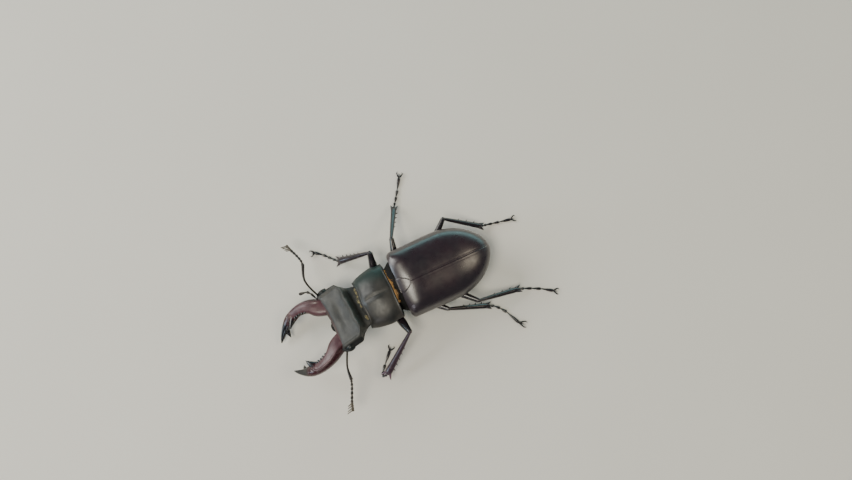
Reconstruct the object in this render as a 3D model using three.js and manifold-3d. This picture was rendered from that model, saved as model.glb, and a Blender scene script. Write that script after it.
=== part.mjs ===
// A male stag beetle (Lucanus cervus) at life size, standing on a level surface.
// Units are millimetres. +Z is up, the head points to -Y and +X is the beetle's own left side.
// The shell plates are drawn for a straight beetle, and its body, prothorax and head then turn into pose.

import * as THREE from "three";
import Module from "manifold-3d";

const wasm = await Module();
wasm.setup();

// ---------------------------------------------------------------- driving sizes

const SEAM = 0.08; // air left between neighbouring plates
const FOOTPRINT_CENTRE = [-3.13, 4.08]; // middle of the whole beetle's outline, moved to the origin

// Turns about X, Y and Z in degrees. Each part also turns with the one behind it.
const BODY = { pivot: [0, 8, 7], turn: [-5, 6, 0], lift: 1.1 };
const PROTHORAX = { pivot: [0, 0, 8.5], turn: [12.5, -12.2, -0.6], lift: 0 };
const NECK = { pivot: [0, -10.5, 8.5], turn: [4.7, -10.1, 4.8], lift: 0 };

const ELYTRA = {
  base: 0.35, // y of the front edge
  tip: 26.5, // y of the rear end
  halfWidth: 8.9,
  dome: 4.8, // height of the back above the side edge
  marginFront: 8.2, // height of the side edge at the shoulder
  marginRear: 7.3,
  thickness: 0.62,
  sutureGap: 0.05,
  boxiness: 2.35, // exponent of the cross-section, 2 being round
};

const SCUTELLUM = { halfWidth: 2.0, front: 0.2, tip: 3.2, top: 11.85, depth: 1.0 };
const EYE = { centre: [7.95, -16.6, 8.95], radii: [0.95, 1.25, 1.0] };
const WAIST = 11.6; // y where the thorax's underside ends and the abdomen begins

// Half-width, crest, side edge and underside of the pronotum, from its front to its rear.
const PRONOTUM_ROWS = [
  [6.15, 10.2, 7.5, 6.2],
  [6.7, 10.8, 7.75, 6.0],
  [7.05, 11.15, 7.9, 5.9],
  [7.3, 11.35, 8.0, 5.9],
  [7.42, 11.35, 8.05, 5.9],
  [7.15, 11.2, 8.1, 6.0],
  [7.2, 10.85, 8.1, 6.2],
];

// y, half-width, top and underside of the prosternum.
const PROSTERNUM_ROWS = [
  [-8.9, 4.2, 5.7, 4.4],
  [-7.4, 5.0, 5.75, 3.7],
  [-5.0, 5.3, 5.75, 3.3],
  [-3.0, 5.0, 5.75, 3.4],
  [-1.8, 4.2, 5.85, 4.0],
];

// y on the middle line, shift of the sides, half-width, top, widest height and underside of the head.
const HEAD_ROWS = [
  [-17.5, -1.1, 7.75, 9.65, 8.7, 6.8],
  [-17.15, -1.0, 8.2, 10.05, 8.75, 6.2],
  [-16.2, -0.5, 8.5, 10.3, 8.75, 5.6],
  [-14.7, -0.2, 8.5, 10.55, 8.7, 5.2],
  [-13.1, -0.2, 8.3, 10.85, 8.6, 5.0],
  [-11.75, -0.85, 7.3, 11.1, 8.5, 4.9],
  [-11.2, -0.6, 6.6, 10.7, 8.3, 4.9],
  [-10.7, -0.2, 6.0, 9.75, 8.1, 5.0],
  [-9.7, 0, 5.6, 9.5, 7.9, 5.2],
  [-8.7, 0, 5.2, 9.2, 7.8, 5.5],
];

// y, half-width, top, widest height and underside of the trunk below the wing cases.
const TRUNK_ROWS = [
  [-1.9, 4.6, 9.6, 7.8, 5.6],
  [-0.4, 5.8, 10.3, 7.6, 4.6],
  [1.2, 6.8, 10.6, 7.3, 3.9],
  [4.5, 7.5, 10.9, 7.0, 3.5],
  [9.0, 7.9, 11.1, 6.8, 3.3],
  [14.0, 7.9, 11.1, 6.7, 3.5],
  [19.0, 6.9, 10.0, 6.5, 4.1],
  [23.0, 4.7, 8.4, 6.4, 5.0],
  [25.0, 2.2, 7.2, 6.3, 5.6],
];

// Centre line of the antler-like jaw with its half-width and half-height.
const MANDIBLE_ROWS = [
  [4.9, -17.0, 8.0, 2.45, 1.5],
  [5.75, -19.5, 8.45, 2.25, 1.6],
  [7.15, -21.45, 8.85, 1.78, 1.5],
  [7.85, -23.4, 8.8, 1.5, 1.4],
  [7.97, -25.5, 8.45, 1.36, 1.33],
  [7.55, -27.6, 7.95, 1.28, 1.2],
  [6.75, -29.3, 7.3, 1.08, 1.0],
  [5.75, -30.85, 6.8, 0.7, 0.68],
  [4.75, -32.05, 6.4, 0.36, 0.4],
  [4.1, -32.7, 6.15, 0.14, 0.16],
];
const INNER_TOOTH = [
  [7.0, -26.7, 8.4, 1.0, 0.85],
  [5.7, -27.5, 8.9, 0.55, 0.5],
  [4.6, -28.0, 9.15, 0.12, 0.12],
];
const FORK_PRONG = [
  [6.6, -29.6, 7.1, 0.8, 0.7],
  [5.2, -29.9, 6.4, 0.5, 0.45],
  [4.15, -29.95, 5.85, 0.12, 0.12],
];
const DENTICLES = { count: 3, first: 0.34, step: 0.08, reach: 0.35, root: 0.34, tip: 0.1 };

const LABRUM_ROWS = [
  [0, -16.9, 8.95, 2.9, 0.45],
  [0, -18.3, 8.75, 2.6, 0.42],
  [0, -19.4, 8.35, 1.7, 0.32],
];
const MENTUM_ROWS = [
  [0, -13.8, 4.8, 2.6, 0.5],
  [0, -16.2, 4.95, 3.4, 0.55],
  [0, -18.2, 5.5, 2.4, 0.6],
  [0, -19.5, 5.9, 1.2, 0.4],
];

// Feelers: the root is given on the straight head, and the rest where it ends up in the pose.
const ANTENNAE = {
  left: {
    root: [7.5, -17.9, 7.9],
    scape: [[12.6, -18.5, 8.9], [15.6, -18.8, 9.1]],
    whip: [[15.75, -18.85, 9.05], [17.1, -19.3, 8.6], [19.0, -20.2, 7.7], [20.7, -21.0, 6.8]],
    club: [[20.7, -21.0, 6.8], [22.7, -21.7, 5.5]],
  },
  right: {
    root: [-7.5, -17.9, 7.9],
    scape: [[-10.4, -19.5, 9.6], [-14.5, -18.5, 9.3]],
    whip: [[-14.65, -18.45, 9.25], [-16.0, -18.5, 8.8], [-17.9, -19.1, 7.9], [-19.6, -19.8, 7.0]],
    club: [[-19.6, -19.8, 7.0], [-21.6, -20.5, 5.7]],
  },
};
const SCAPE_RADII = [0.28, 0.3, 0.42];
const WHIP = { beads: 6, thin: 0.25, thick: 0.36 };
const CLUB = { leaves: 4, first: 0.22, step: 0.25, length: 1.0, growth: 0.16 };

const PALPS = {
  left: { root: [5.2, -17.5, 5.2], path: [[7.9, -19.2, 5.1], [8.2, -20.7, 4.6], [7.6, -22.2, 3.8]] },
  right: { root: [-5.2, -17.4, 5.0], path: [[-6.9, -19.4, 4.5], [-8.6, -20.1, 4.5], [-9.2, -22.6, 3.7]] },
};
const PALP = { beads: 4, thin: 0.25, thick: 0.4 };

// Legs: coxae and hips are given on the straight body, and the rest where they stand.
const COXAE = { fore: [2.9, -4.15, 3.65], mid: [2.75, 2.65, 3.35], hind: [2.5, 9.6, 3.35] };
const COXA_RADII = [1.75, 1.4, 1.2];
const LEGS = {
  fore_left: {
    hip: [3.6, -3.5, 3.4],
    knee: [11.4, -1.25, 7.7],
    ankle: [18.25, -10.4, 2.6],
    foot: [
      [18.6, -11.3, 1.4], [18.1, -11.9, 0.5], [16.6, -10.7, 0.35],
      [14.6, -8.9, 0.35], [13.3, -7.6, 0.35],
    ],
    claw: [12.4, -6.6, 0.35],
  },
  fore_right: {
    hip: [-2.6, -4.6, 3.3],
    knee: [-10.7, -2.2, 8.85],
    ankle: [-13.2, -9.95, 1.7],
    foot: [
      [-13.8, -10.65, 0.95], [-14.9, -11.6, 0.4], [-16.3, -12.8, 0.35],
      [-17.5, -14.0, 0.35], [-18.2, -15.0, 0.35],
    ],
    claw: [-18.3, -16.2, 0.35],
  },
  mid_left: {
    hip: [2.9, 2.7, 2.95],
    knee: [10.3, 10.2, 5.9],
    ankle: [13.65, 20.2, 2.05],
    foot: [
      [13.9, 21.0, 1.1], [14.8, 22.4, 0.4], [16.6, 24.0, 0.35],
      [19.0, 25.0, 0.35], [21.2, 26.1, 0.35],
    ],
    claw: [22.5, 27.7, 0.35],
  },
  mid_right: {
    hip: [-2.6, 2.6, 2.95],
    knee: [-12.1, 4.4, 7.3],
    ankle: [-20.1, 8.8, 1.75],
    foot: [
      [-20.9, 9.3, 0.95], [-22.2, 10.2, 0.4], [-24.1, 11.5, 0.35],
      [-26.1, 12.8, 0.35], [-27.7, 13.8, 0.35],
    ],
    claw: [-29.1, 14.7, 0.35],
  },
  hind_left: {
    hip: [2.55, 9.6, 2.95],
    knee: [11.64, 18.05, 6.1],
    ankle: [13.15, 29.3, 2.05],
    foot: [
      [13.3, 30.2, 1.1], [13.9, 31.9, 0.4], [15.2, 34.7, 0.35],
      [16.6, 37.1, 0.35], [17.5, 38.3, 0.35],
    ],
    claw: [18.3, 39.5, 0.35],
  },
  hind_right: {
    hip: [-2.5, 9.6, 2.95],
    knee: [-11.2, 18.6, 7.3],
    ankle: [-6.25, 27.9, 1.8],
    foot: [
      [-6.1, 28.9, 1.0], [-6.0, 30.3, 0.4], [-5.5, 32.6, 0.35],
      [-5.0, 35.0, 0.35], [-4.7, 36.6, 0.35],
    ],
    claw: [-4.5, 38.0, 0.35],
  },
};
// Half-widths along the thigh and the shin, and the spines on the shin's outer edge.
const LEG_BUILD = {
  fore: { thigh: [0.75, 1.05, 0.8], shin: [0.55, 0.72, 0.95], spines: 3 },
  mid: { thigh: [0.7, 0.92, 0.72], shin: [0.48, 0.54, 0.68], spines: 2 },
  hind: { thigh: [0.72, 0.9, 0.72], shin: [0.48, 0.54, 0.68], spines: 2 },
};
const SHIN_FLATNESS = 0.72;
const SPINE = { reach: 0.7, lean: 0.5, root: 0.3, tip: 0.1 };
const SPUR = { reach: 0.5, lean: 1.2, root: 0.34, tip: 0.1 };
const FOOT = { joints: 4, thin: 0.27, thick: 0.4 };
const CLAW = { spread: 0.75, root: 0.27, tip: 0.1 };

// ---------------------------------------------------------------- small maths

const mix = (a, b, t) => a + (b - a) * t;
const clamp = (t, lo, hi) => Math.min(Math.max(t, lo), hi);
const signedPower = (value, power) => Math.sign(value) * Math.abs(value) ** power;
const add = (a, b) => a.map((value, i) => value + b[i]);
const sub = (a, b) => a.map((value, i) => value - b[i]);
const scale = (a, k) => a.map((value) => value * k);
const between = (a, b, t) => a.map((value, i) => mix(value, b[i], t));
const cross = (a, b) => [
  a[1] * b[2] - a[2] * b[1],
  a[2] * b[0] - a[0] * b[2],
  a[0] * b[1] - a[1] * b[0],
];
const unit = (a) => scale(a, 1 / Math.hypot(...a));
const steps = (count, make) => Array.from({ length: count }, (_, i) => make(i / (count - 1), i));

// Smooth curve through rows of numbers: t runs from 0 to 1 along them.
function alongRows(rows, t) {
  const last = rows.length - 1;
  const place = clamp(t, 0, 1) * last;
  const i = Math.min(Math.floor(place), last - 1);
  const f = place - i;
  const before = rows[Math.max(i - 1, 0)];
  const after = rows[Math.min(i + 2, last)];
  return rows[i].map((start, k) => {
    const end = rows[i + 1][k];
    const slopeIn = (end - before[k]) / 2;
    const slopeOut = (after[k] - start) / 2;
    const cubic = 2 * start - 2 * end + slopeIn + slopeOut;
    const square = 3 * end - 3 * start - 2 * slopeIn - slopeOut;
    return ((cubic * f + square) * f + slopeIn) * f + start;
  });
}

// The place along rows whose first number, which always rises, has the given value.
function placeOf(rows, value) {
  let low = 0;
  let high = 1;
  for (let i = 0; i < 24; i += 1) {
    const middle = (low + high) / 2;
    if (alongRows(rows, middle)[0] < value) low = middle;
    else high = middle;
  }
  return low;
}

function turnAbout({ pivot, turn, lift }) {
  const [x, y, z] = turn.map(THREE.MathUtils.degToRad);
  const matrix = new THREE.Matrix4().makeRotationFromEuler(new THREE.Euler(x, y, z, "ZYX"));
  const raised = add(pivot, [0, 0, lift]);
  return (point) => {
    const arm = new THREE.Vector3(...sub(point, pivot)).applyMatrix4(matrix);
    return add([arm.x, arm.y, arm.z], raised);
  };
}

const asDrawn = (point) => point;
const onGround = ([x, y, z]) => [x, y, Math.max(z, 0)];
const poseBody = turnAbout(BODY);
const bendThorax = turnAbout(PROTHORAX);
const bendNeck = turnAbout(NECK);
const posePronotum = (point) => poseBody(bendThorax(point));
const poseHead = (point) => posePronotum(bendNeck(point));

// ---------------------------------------------------------------- solids

// A closed solid from shared points and triangles, turned so that its faces point out.
function solidFrom(points, triangles) {
  let volume = 0;
  for (const [a, b, c] of triangles) {
    const normal = cross(points[b], points[c]);
    volume += points[a].reduce((sum, value, i) => sum + value * normal[i], 0);
  }
  const outward = volume > 0 ? triangles : triangles.map(([a, b, c]) => [a, c, b]);
  return new wasm.Manifold(new wasm.Mesh({
    numProp: 3,
    vertProperties: Float32Array.from(points.flat()),
    triVerts: Uint32Array.from(outward.flat()),
  }));
}

// Rings of equal length, one after another, closed at both ends by a fan.
function loft(rings) {
  const size = rings[0].length;
  const points = rings.flat();
  const triangles = [];
  for (let r = 0; r < rings.length - 1; r += 1) {
    for (let i = 0; i < size; i += 1) {
      const a = r * size + i;
      const b = r * size + ((i + 1) % size);
      triangles.push([a, b, b + size], [a, b + size, a + size]);
    }
  }
  const closeEnd = (ring, first, flip) => {
    const hub = points.length;
    points.push(scale(ring.reduce(add), 1 / size));
    for (let i = 0; i < size; i += 1) {
      const next = first + ((i + 1) % size);
      triangles.push(flip ? [hub, next, first + i] : [hub, first + i, next]);
    }
  };
  const lastRing = (rings.length - 1) * size;
  closeEnd(rings[0], 0, true);
  closeEnd(rings.at(-1), lastRing, false);
  return solidFrom(points, triangles);
}

// A curved sheet of even thickness: a grid of outer points and the same grid moved inwards.
function shell(outer, thickness) {
  const rows = outer.length;
  const columns = outer[0].length;
  const inner = outer.map((row, r) => row.map((point, c) => {
    const alongRow = sub(row[Math.min(c + 1, columns - 1)], row[Math.max(c - 1, 0)]);
    const alongColumn = sub(outer[Math.min(r + 1, rows - 1)][c], outer[Math.max(r - 1, 0)][c]);
    return add(point, scale(unit(cross(alongColumn, alongRow)), thickness));
  }));
  const points = [...outer.flat(), ...inner.flat()];
  const at = (r, c, layer) => (layer * rows + r) * columns + c;
  const triangles = [];
  const quad = (a, b, c, d) => triangles.push([a, b, c], [a, c, d]);
  const right = columns - 1;
  const rear = rows - 1;
  for (let r = 0; r < rear; r += 1) {
    for (let c = 0; c < right; c += 1) {
      quad(at(r, c, 0), at(r + 1, c, 0), at(r + 1, c + 1, 0), at(r, c + 1, 0));
      quad(at(r, c, 1), at(r, c + 1, 1), at(r + 1, c + 1, 1), at(r + 1, c, 1));
    }
    quad(at(r, 0, 0), at(r, 0, 1), at(r + 1, 0, 1), at(r + 1, 0, 0));
    quad(at(r, right, 1), at(r, right, 0), at(r + 1, right, 0), at(r + 1, right, 1));
  }
  for (let c = 0; c < right; c += 1) {
    quad(at(0, c, 1), at(0, c, 0), at(0, c + 1, 0), at(0, c + 1, 1));
    quad(at(rear, c, 0), at(rear, c, 1), at(rear, c + 1, 1), at(rear, c + 1, 0));
  }
  return solidFrom(points, triangles);
}

// A rod along a smooth curve. Each row holds x, y, z, half-width and half-height of the section.
function limb(rows, { rings = 8, sides = 8, grow = 0, square = 2, pose = asDrawn } = {}) {
  const spine = steps(rings, (t) => alongRows(rows, t));
  return loft(spine.map((row, r) => {
    const ahead = spine[Math.min(r + 1, rings - 1)].slice(0, 3);
    const behind = spine[Math.max(r - 1, 0)].slice(0, 3);
    const forward = unit(sub(ahead, behind));
    const side = unit(cross(forward, [0, 0, 1]));
    const over = cross(side, forward);
    const reach = (r === rings - 1) - (r === 0);
    const centre = add(row.slice(0, 3), scale(forward, reach * grow));
    return Array.from({ length: sides }, (_, i) => {
      const angle = (2 * Math.PI * (i + 0.5)) / sides;
      const across = signedPower(Math.cos(angle), 2 / square) * (row[3] + grow);
      const upward = signedPower(Math.sin(angle), 2 / square) * (row[4] + grow);
      return pose(add(centre, add(scale(side, across), scale(over, upward))));
    });
  }));
}

// A rounded lump with three half-axes.
function lump(centre, radii, { grow = 0, rings = 6, sides = 8, pose = asDrawn } = {}) {
  const [rx, ry, rz] = radii.map((radius) => radius + grow);
  const loops = [];
  for (let r = 1; r < rings; r += 1) {
    const lean = (Math.PI * r) / rings;
    loops.push(Array.from({ length: sides }, (_, i) => {
      const angle = (2 * Math.PI * i) / sides;
      const ring = Math.sin(lean);
      const arm = [ring * Math.cos(angle) * rx, ring * Math.sin(angle) * ry, Math.cos(lean) * rz];
      return pose(add(centre, arm));
    }));
  }
  return loft(loops);
}

// A section across the body: a wide superellipse whose lower half may be narrower.
function bodyRing(section, { count, grow = 0, pose }) {
  const { yAt, half, top, middle, bottom, boxTop = 2.2, boxBottom = 2.4, tuck = 0 } = section;
  return Array.from({ length: count }, (_, i) => {
    const angle = (2 * Math.PI * (i + 0.5)) / count;
    const upper = Math.sin(angle) >= 0;
    const power = 2 / (upper ? boxTop : boxBottom);
    const height = Math.abs(Math.sin(angle)) ** power;
    const narrow = upper ? 1 : 1 - tuck * height;
    const x = signedPower(Math.cos(angle), power) * (half + grow) * narrow;
    const z = upper ? mix(middle, top + grow, height) : mix(middle, bottom - grow, height);
    return pose([x, yAt(clamp(Math.abs(x) / half, 0, 1)), z]);
  });
}

// ---------------------------------------------------------------- the back

// Half-width of the closed wing cases, t from 0 at the shoulder to 1 at the tip.
function elytraHalfWidth(t) {
  const shoulder = 1 - 0.09 * (1 - clamp(t / 0.05, 0, 1)) ** 2 - 0.04 * (1 - clamp(t / 0.4, 0, 1));
  const rear = t > 0.5 ? (1 - ((t - 0.5) / 0.5) ** 2.1) ** 0.62 : 1;
  return ELYTRA.halfWidth * shoulder * Math.max(rear, 0.03);
}

const elytraMargin = (t) => mix(ELYTRA.marginFront, ELYTRA.marginRear, clamp(t / 0.45, 0, 1));

// Height of the ridge along the middle of the back.
function elytraCrest(t) {
  const front = 1 - 0.17 * (1 - clamp(t / 0.5, 0, 1)) ** 2;
  const rear = t > 0.5 ? (1 - ((t - 0.5) / 0.5) ** 2.5) ** 0.5 : 1;
  return elytraMargin(t) + ELYTRA.dome * front * Math.max(rear, 0.06);
}

// The scutellum's rounded triangle: its half-width at y.
function scutellumHalfWidth(y) {
  const t = clamp((y - SCUTELLUM.front) / (SCUTELLUM.tip - SCUTELLUM.front), 0, 1);
  return SCUTELLUM.halfWidth * Math.sqrt(1 - t ** 1.5);
}

// One wing case, from the suture over the side to an edge that turns a little under.
function elytron(side) {
  const rows = 14;
  const columns = 8;
  const nearlyWhole = 0.992;
  const overEdge = 1.06;
  const outer = steps(rows, (part, r) => {
    const t = ((1 - Math.cos(Math.PI * part ** 1.05)) / 2) * nearlyWhole;
    const y = mix(ELYTRA.base, ELYTRA.tip, t);
    const half = elytraHalfWidth(t);
    const inner = Math.min(scutellumHalfWidth(y) + ELYTRA.sutureGap, half * 0.6);
    return steps(columns, (across) => {
      const angle = (Math.PI / 2) * across * overEdge;
      const x = mix(inner, half, Math.sin(angle) ** (2 / ELYTRA.boxiness));
      const height = signedPower(Math.cos(angle), 2 / ELYTRA.boxiness);
      const shoulderBack = 0.45 * clamp(1 - r / 3, 0, 1) * (x / half) ** 6;
      return poseBody([side * x, y + shoulderBack, mix(elytraMargin(t), elytraCrest(t), height)]);
    });
  });
  return shell(outer, side * ELYTRA.thickness);
}

function scutellum(grow = 0) {
  return loft(steps(5, (t) => {
    const y = mix(SCUTELLUM.front - grow, SCUTELLUM.tip - 0.04 + grow, t);
    const half = Math.max(scutellumHalfWidth(y) - SEAM, 0.12) + grow;
    return bodyRing({
      yAt: () => y,
      half,
      top: SCUTELLUM.top - 0.1 * half,
      middle: SCUTELLUM.top - SCUTELLUM.depth / 2,
      bottom: SCUTELLUM.top - SCUTELLUM.depth - grow,
    }, { count: 10, pose: poseBody });
  }));
}

// ---------------------------------------------------------------- prothorax

// Both edges of the pronotum wave in and out: q is 0 on the middle line and 1 at the corner.
const pronotumFront = (q) => -9.5 + 0.3 * Math.sin(Math.PI * q) ** 2 - 0.2 * q ** 6;
const pronotumRear = (q) => -0.75 - 0.15 * Math.sin(Math.PI * q) ** 2 - 0.45 * q ** 4;

function pronotum() {
  return loft(steps(8, (v) => {
    const [half, top, middle, bottom] = alongRows(PRONOTUM_ROWS, v);
    const yAt = (q) => mix(pronotumFront(q), pronotumRear(q), v);
    return bodyRing({ yAt, half, top, middle, bottom, boxTop: 2.1, boxBottom: 2.6, tuck: 0.25 },
      { count: 20, pose: posePronotum });
  }));
}

function prosternum() {
  return loft(steps(6, (t) => {
    const [y, half, top, bottom] = alongRows(PROSTERNUM_ROWS, t);
    return bodyRing({ yAt: () => y, half, top, middle: mix(top, bottom, 0.3), bottom, boxTop: 6 },
      { count: 10, pose: posePronotum });
  }));
}

// ---------------------------------------------------------------- head

function headCapsule(grow = 0) {
  return loft(HEAD_ROWS.map(([y, forward, half, top, middle, bottom], r) => {
    const frontGrowth = r === 0 ? grow : 0;
    const yAt = (q) => y + forward * q ** 3 - frontGrowth;
    const section = { yAt, half, top, middle, bottom, boxTop: 4, tuck: 0.3 };
    return bodyRing(section, { count: 16, grow, pose: poseHead });
  }));
}

const eye = (side, grow = 0) => lump(
  [side * EYE.centre[0], EYE.centre[1], EYE.centre[2]],
  EYE.radii,
  { grow, rings: 6, sides: 9, pose: poseHead },
);
const labrum = (grow = 0) => limb(LABRUM_ROWS, { rings: 4, sides: 8, square: 3, grow, pose: poseHead });
const mentum = (grow = 0) => limb(MENTUM_ROWS, { rings: 5, sides: 8, square: 2.6, grow, pose: poseHead });

// One jaw: a curved arm with an inner tooth, a forked tip and a row of denticles, all one piece.
function mandible(side) {
  const flip = (rows) => rows.map(([x, ...rest]) => [side * x, ...rest]);
  let jaw = limb(flip(MANDIBLE_ROWS), { rings: 13, sides: 8, square: 2.3, pose: poseHead });
  for (const rows of [INNER_TOOTH, FORK_PRONG]) {
    jaw = jaw.add(limb(flip(rows), { rings: 3, sides: 6, pose: poseHead }));
  }
  for (let i = 0; i < DENTICLES.count; i += 1) {
    const [x, y, z, half] = alongRows(MANDIBLE_ROWS, DENTICLES.first + DENTICLES.step * i);
    const root = [x - 0.5 * half, y, z, DENTICLES.root, DENTICLES.root];
    const tip = [x - half - DENTICLES.reach, y, z + 0.1, DENTICLES.tip, DENTICLES.tip];
    jaw = jaw.add(limb(flip([root, tip]), { rings: 2, sides: 4, pose: poseHead }));
  }
  return jaw;
}

// ---------------------------------------------------------------- feelers

const scapePath = ({ root, scape }) => [poseHead(root), ...scape];

function scape(feeler, grow = 0) {
  const rows = scapePath(feeler).map((point, i) => [...point, SCAPE_RADII[i], SCAPE_RADII[i]]);
  return limb(rows, { rings: 6, sides: 6, grow });
}

// A string of beads along a path: the radius swells once for each.
function beaded(path, { beads, thin, thick }) {
  const cuts = beads * 2;
  const rows = steps(cuts + 1, (t, i) => {
    const radius = i % 2 ? thick : thin;
    return [...alongRows(path, t), radius, radius];
  });
  return limb(rows, { rings: cuts + 1, sides: 5 });
}

// The club's stem carries leaves on its front side, longer towards the end.
function club({ club: path }, side) {
  let solid = limb(path.map((point) => [...point, 0.3, 0.3]), { rings: 2, sides: 5 });
  for (let i = 0; i < CLUB.leaves; i += 1) {
    const root = alongRows(path, CLUB.first + CLUB.step * i);
    const end = add(root, [side * 0.35, -CLUB.length - CLUB.growth * i, -0.1]);
    solid = solid.add(limb([[...root, 0.26, 0.3], [...end, 0.26, 0.34]], { rings: 2, sides: 4 }));
  }
  return solid;
}

const palp = ({ root, path }) => beaded([poseHead(root), ...path], PALP);

// ---------------------------------------------------------------- trunk underneath

const trunkRing = ([y, half, top, middle, bottom], grow = 0) => bodyRing(
  { yAt: () => y, half, top, middle, bottom, boxBottom: 2.0 },
  { count: 14, grow, pose: poseBody },
);

function trunkPiece(from, to, rings) {
  const start = placeOf(TRUNK_ROWS, from);
  const end = placeOf(TRUNK_ROWS, to);
  return loft(steps(rings, (t) => trunkRing(alongRows(TRUNK_ROWS, mix(start, end, t)))));
}

// The front of the trunk, a little larger, to hollow what it plugs into.
const trunkSocket = () => loft(
  TRUNK_ROWS.slice(0, 3).map(([y, ...sizes]) => trunkRing([y - SEAM, ...sizes], SEAM)),
);

// ---------------------------------------------------------------- legs

const pairOf = (name) => name.split("_")[0];
const poseOfPair = (name) => (pairOf(name) === "fore" ? posePronotum : poseBody);

function coxa(name, grow = 0) {
  const [x, y, z] = COXAE[pairOf(name)];
  const side = Math.sign(LEGS[name].hip[0]);
  return lump([side * x, y, z], COXA_RADII, { grow, rings: 5, pose: poseOfPair(name) });
}

function femur(name, grow = 0) {
  const hip = poseOfPair(name)(LEGS[name].hip);
  const { knee } = LEGS[name];
  const [root, belly, end] = LEG_BUILD[pairOf(name)].thigh;
  const along = (t) => between(hip, knee, t);
  return limb([
    [...along(-0.02), root * 0.9, root * 0.8],
    [...along(0.25), belly * 0.95, belly * 0.9],
    [...along(0.6), belly, belly],
    [...along(0.88), end, end * 1.05],
    [...along(1.03), end * 0.72, end * 0.75],
  ], { rings: 5, sides: 8, grow });
}

// The shin: slim at the knee and wider at the end, with spines on its outer edge and a forked tip.
function tibia(name) {
  const { knee, ankle } = LEGS[name];
  const { shin, spines } = LEG_BUILD[pairOf(name)];
  const [thin, middle, wide] = shin;
  const along = (t) => between(knee, ankle, t);
  const forward = unit(sub(ankle, knee));
  const sideways = unit(cross(forward, [0, 0, 1]));
  const outward = sideways[1] < 0 ? -1 : 1;
  const thorn = (t, sign, width, { reach, lean, root, tip }) => {
    const end = add(along(t), add(scale(sideways, sign * (width + reach)), scale(forward, lean)));
    return limb([[...along(t), root, root], [...end, tip, tip]], { rings: 2, sides: 3 });
  };
  let solid = limb([
    [...along(0.03), thin, thin],
    [...along(0.35), middle, middle * 0.9],
    [...along(0.7), mix(middle, wide, 0.5), middle * 0.85],
    [...along(1), wide, wide * SHIN_FLATNESS],
  ], { rings: 4, sides: 7 });
  for (let i = 0; i < spines; i += 1) {
    const t = mix(0.3, 0.88, (i + 0.5) / spines);
    solid = solid.add(thorn(t, outward, middle, SPINE));
  }
  return solid.add(thorn(0.97, outward, wide, SPUR)).add(thorn(0.97, -outward, wide, SPUR));
}

// The foot: four short joints and a long one, ending in two hooked claws.
function tarsus(name) {
  const { ankle, foot, claw } = LEGS[name];
  const path = [ankle, ...foot];
  const jointed = 0.66;
  const knots = FOOT.joints * 2;
  const rows = steps(knots + 1, (t, i) => {
    const radius = i % 2 ? FOOT.thick : FOOT.thin;
    return [...alongRows(path, t * jointed), radius, radius];
  });
  rows.push([...alongRows(path, 0.85), FOOT.thin, FOOT.thin], [...foot.at(-1), FOOT.thick, FOOT.thick]);
  let solid = limb(rows, { rings: rows.length, sides: 5, pose: onGround });
  const end = foot.at(-1);
  const sideways = unit(cross(sub(claw, end), [0, 0, 1]));
  for (const sign of [-1, 1]) {
    const bend = add(between(end, claw, 0.6), scale(sideways, sign * CLAW.spread));
    const tip = add(claw, scale(sideways, sign * CLAW.spread * 0.7));
    solid = solid.add(limb([
      [...end, CLAW.root, CLAW.root],
      [...add(bend, [0, 0, 0.12]), CLAW.root * 0.85, CLAW.root * 0.85],
      [...add(tip, [0, 0, -0.12]), CLAW.tip, CLAW.tip],
    ], { rings: 3, sides: 4, pose: onGround }));
  }
  return solid;
}

// ---------------------------------------------------------------- finishes

const finish = (color, roughness) => new THREE.MeshStandardMaterial({ color, roughness, metalness: 0 });
const FINISHES = {
  elytra: finish(0x3a2428, 0.28),
  pronotum: finish(0x2c2b29, 0.36),
  head: finish(0x4a4a44, 0.42),
  mandible: finish(0x4e1d22, 0.3),
  leg: finish(0x17161a, 0.32),
  eye: finish(0x0b0d0e, 0.12),
  belly: finish(0x1e1816, 0.45),
};

// ---------------------------------------------------------------- assembly

const group = new THREE.Group();
group.name = "stag_beetle";
group.position.set(-FOOTPRINT_CENTRE[0], -FOOTPRINT_CENTRE[1], 0);

function place(name, solid, material) {
  const { vertProperties, triVerts } = solid.getMesh();
  const geometry = new THREE.BufferGeometry();
  geometry.setAttribute("position", new THREE.BufferAttribute(Float32Array.from(vertProperties), 3));
  geometry.setIndex(new THREE.BufferAttribute(Uint32Array.from(triVerts), 1));
  geometry.computeVertexNormals();
  const mesh = new THREE.Mesh(geometry, material);
  mesh.name = name;
  group.add(mesh);
}

const cutAway = (solid, ...others) => others.reduce((rest, other) => rest.subtract(other), solid);

const SIDES = [["left", 1], ["right", -1]];
const LEG_NAMES = Object.keys(LEGS);
const legSockets = (pairs) => LEG_NAMES.filter((name) => pairs.includes(pairOf(name)))
  .flatMap((name) => [coxa(name, SEAM), femur(name, SEAM)]);

const neckHole = headCapsule(SEAM);
const trunkHole = trunkSocket();
const mouthHoles = [labrum(SEAM), mentum(SEAM)];
const eyeHoles = SIDES.map(([, sign]) => eye(sign, SEAM));
const feelerHoles = SIDES.map(([side]) => scape(ANTENNAE[side], SEAM));
const foreSockets = legSockets(["fore"]);
const rearSockets = legSockets(["mid", "hind"]);
const [trunkFront, trunkRear] = [TRUNK_ROWS[0][0], TRUNK_ROWS.at(-1)[0]];
const pterothorax = trunkPiece(trunkFront, WAIST - SEAM / 2, 7);
const abdomen = trunkPiece(WAIST + SEAM / 2, trunkRear, 7);

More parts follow.
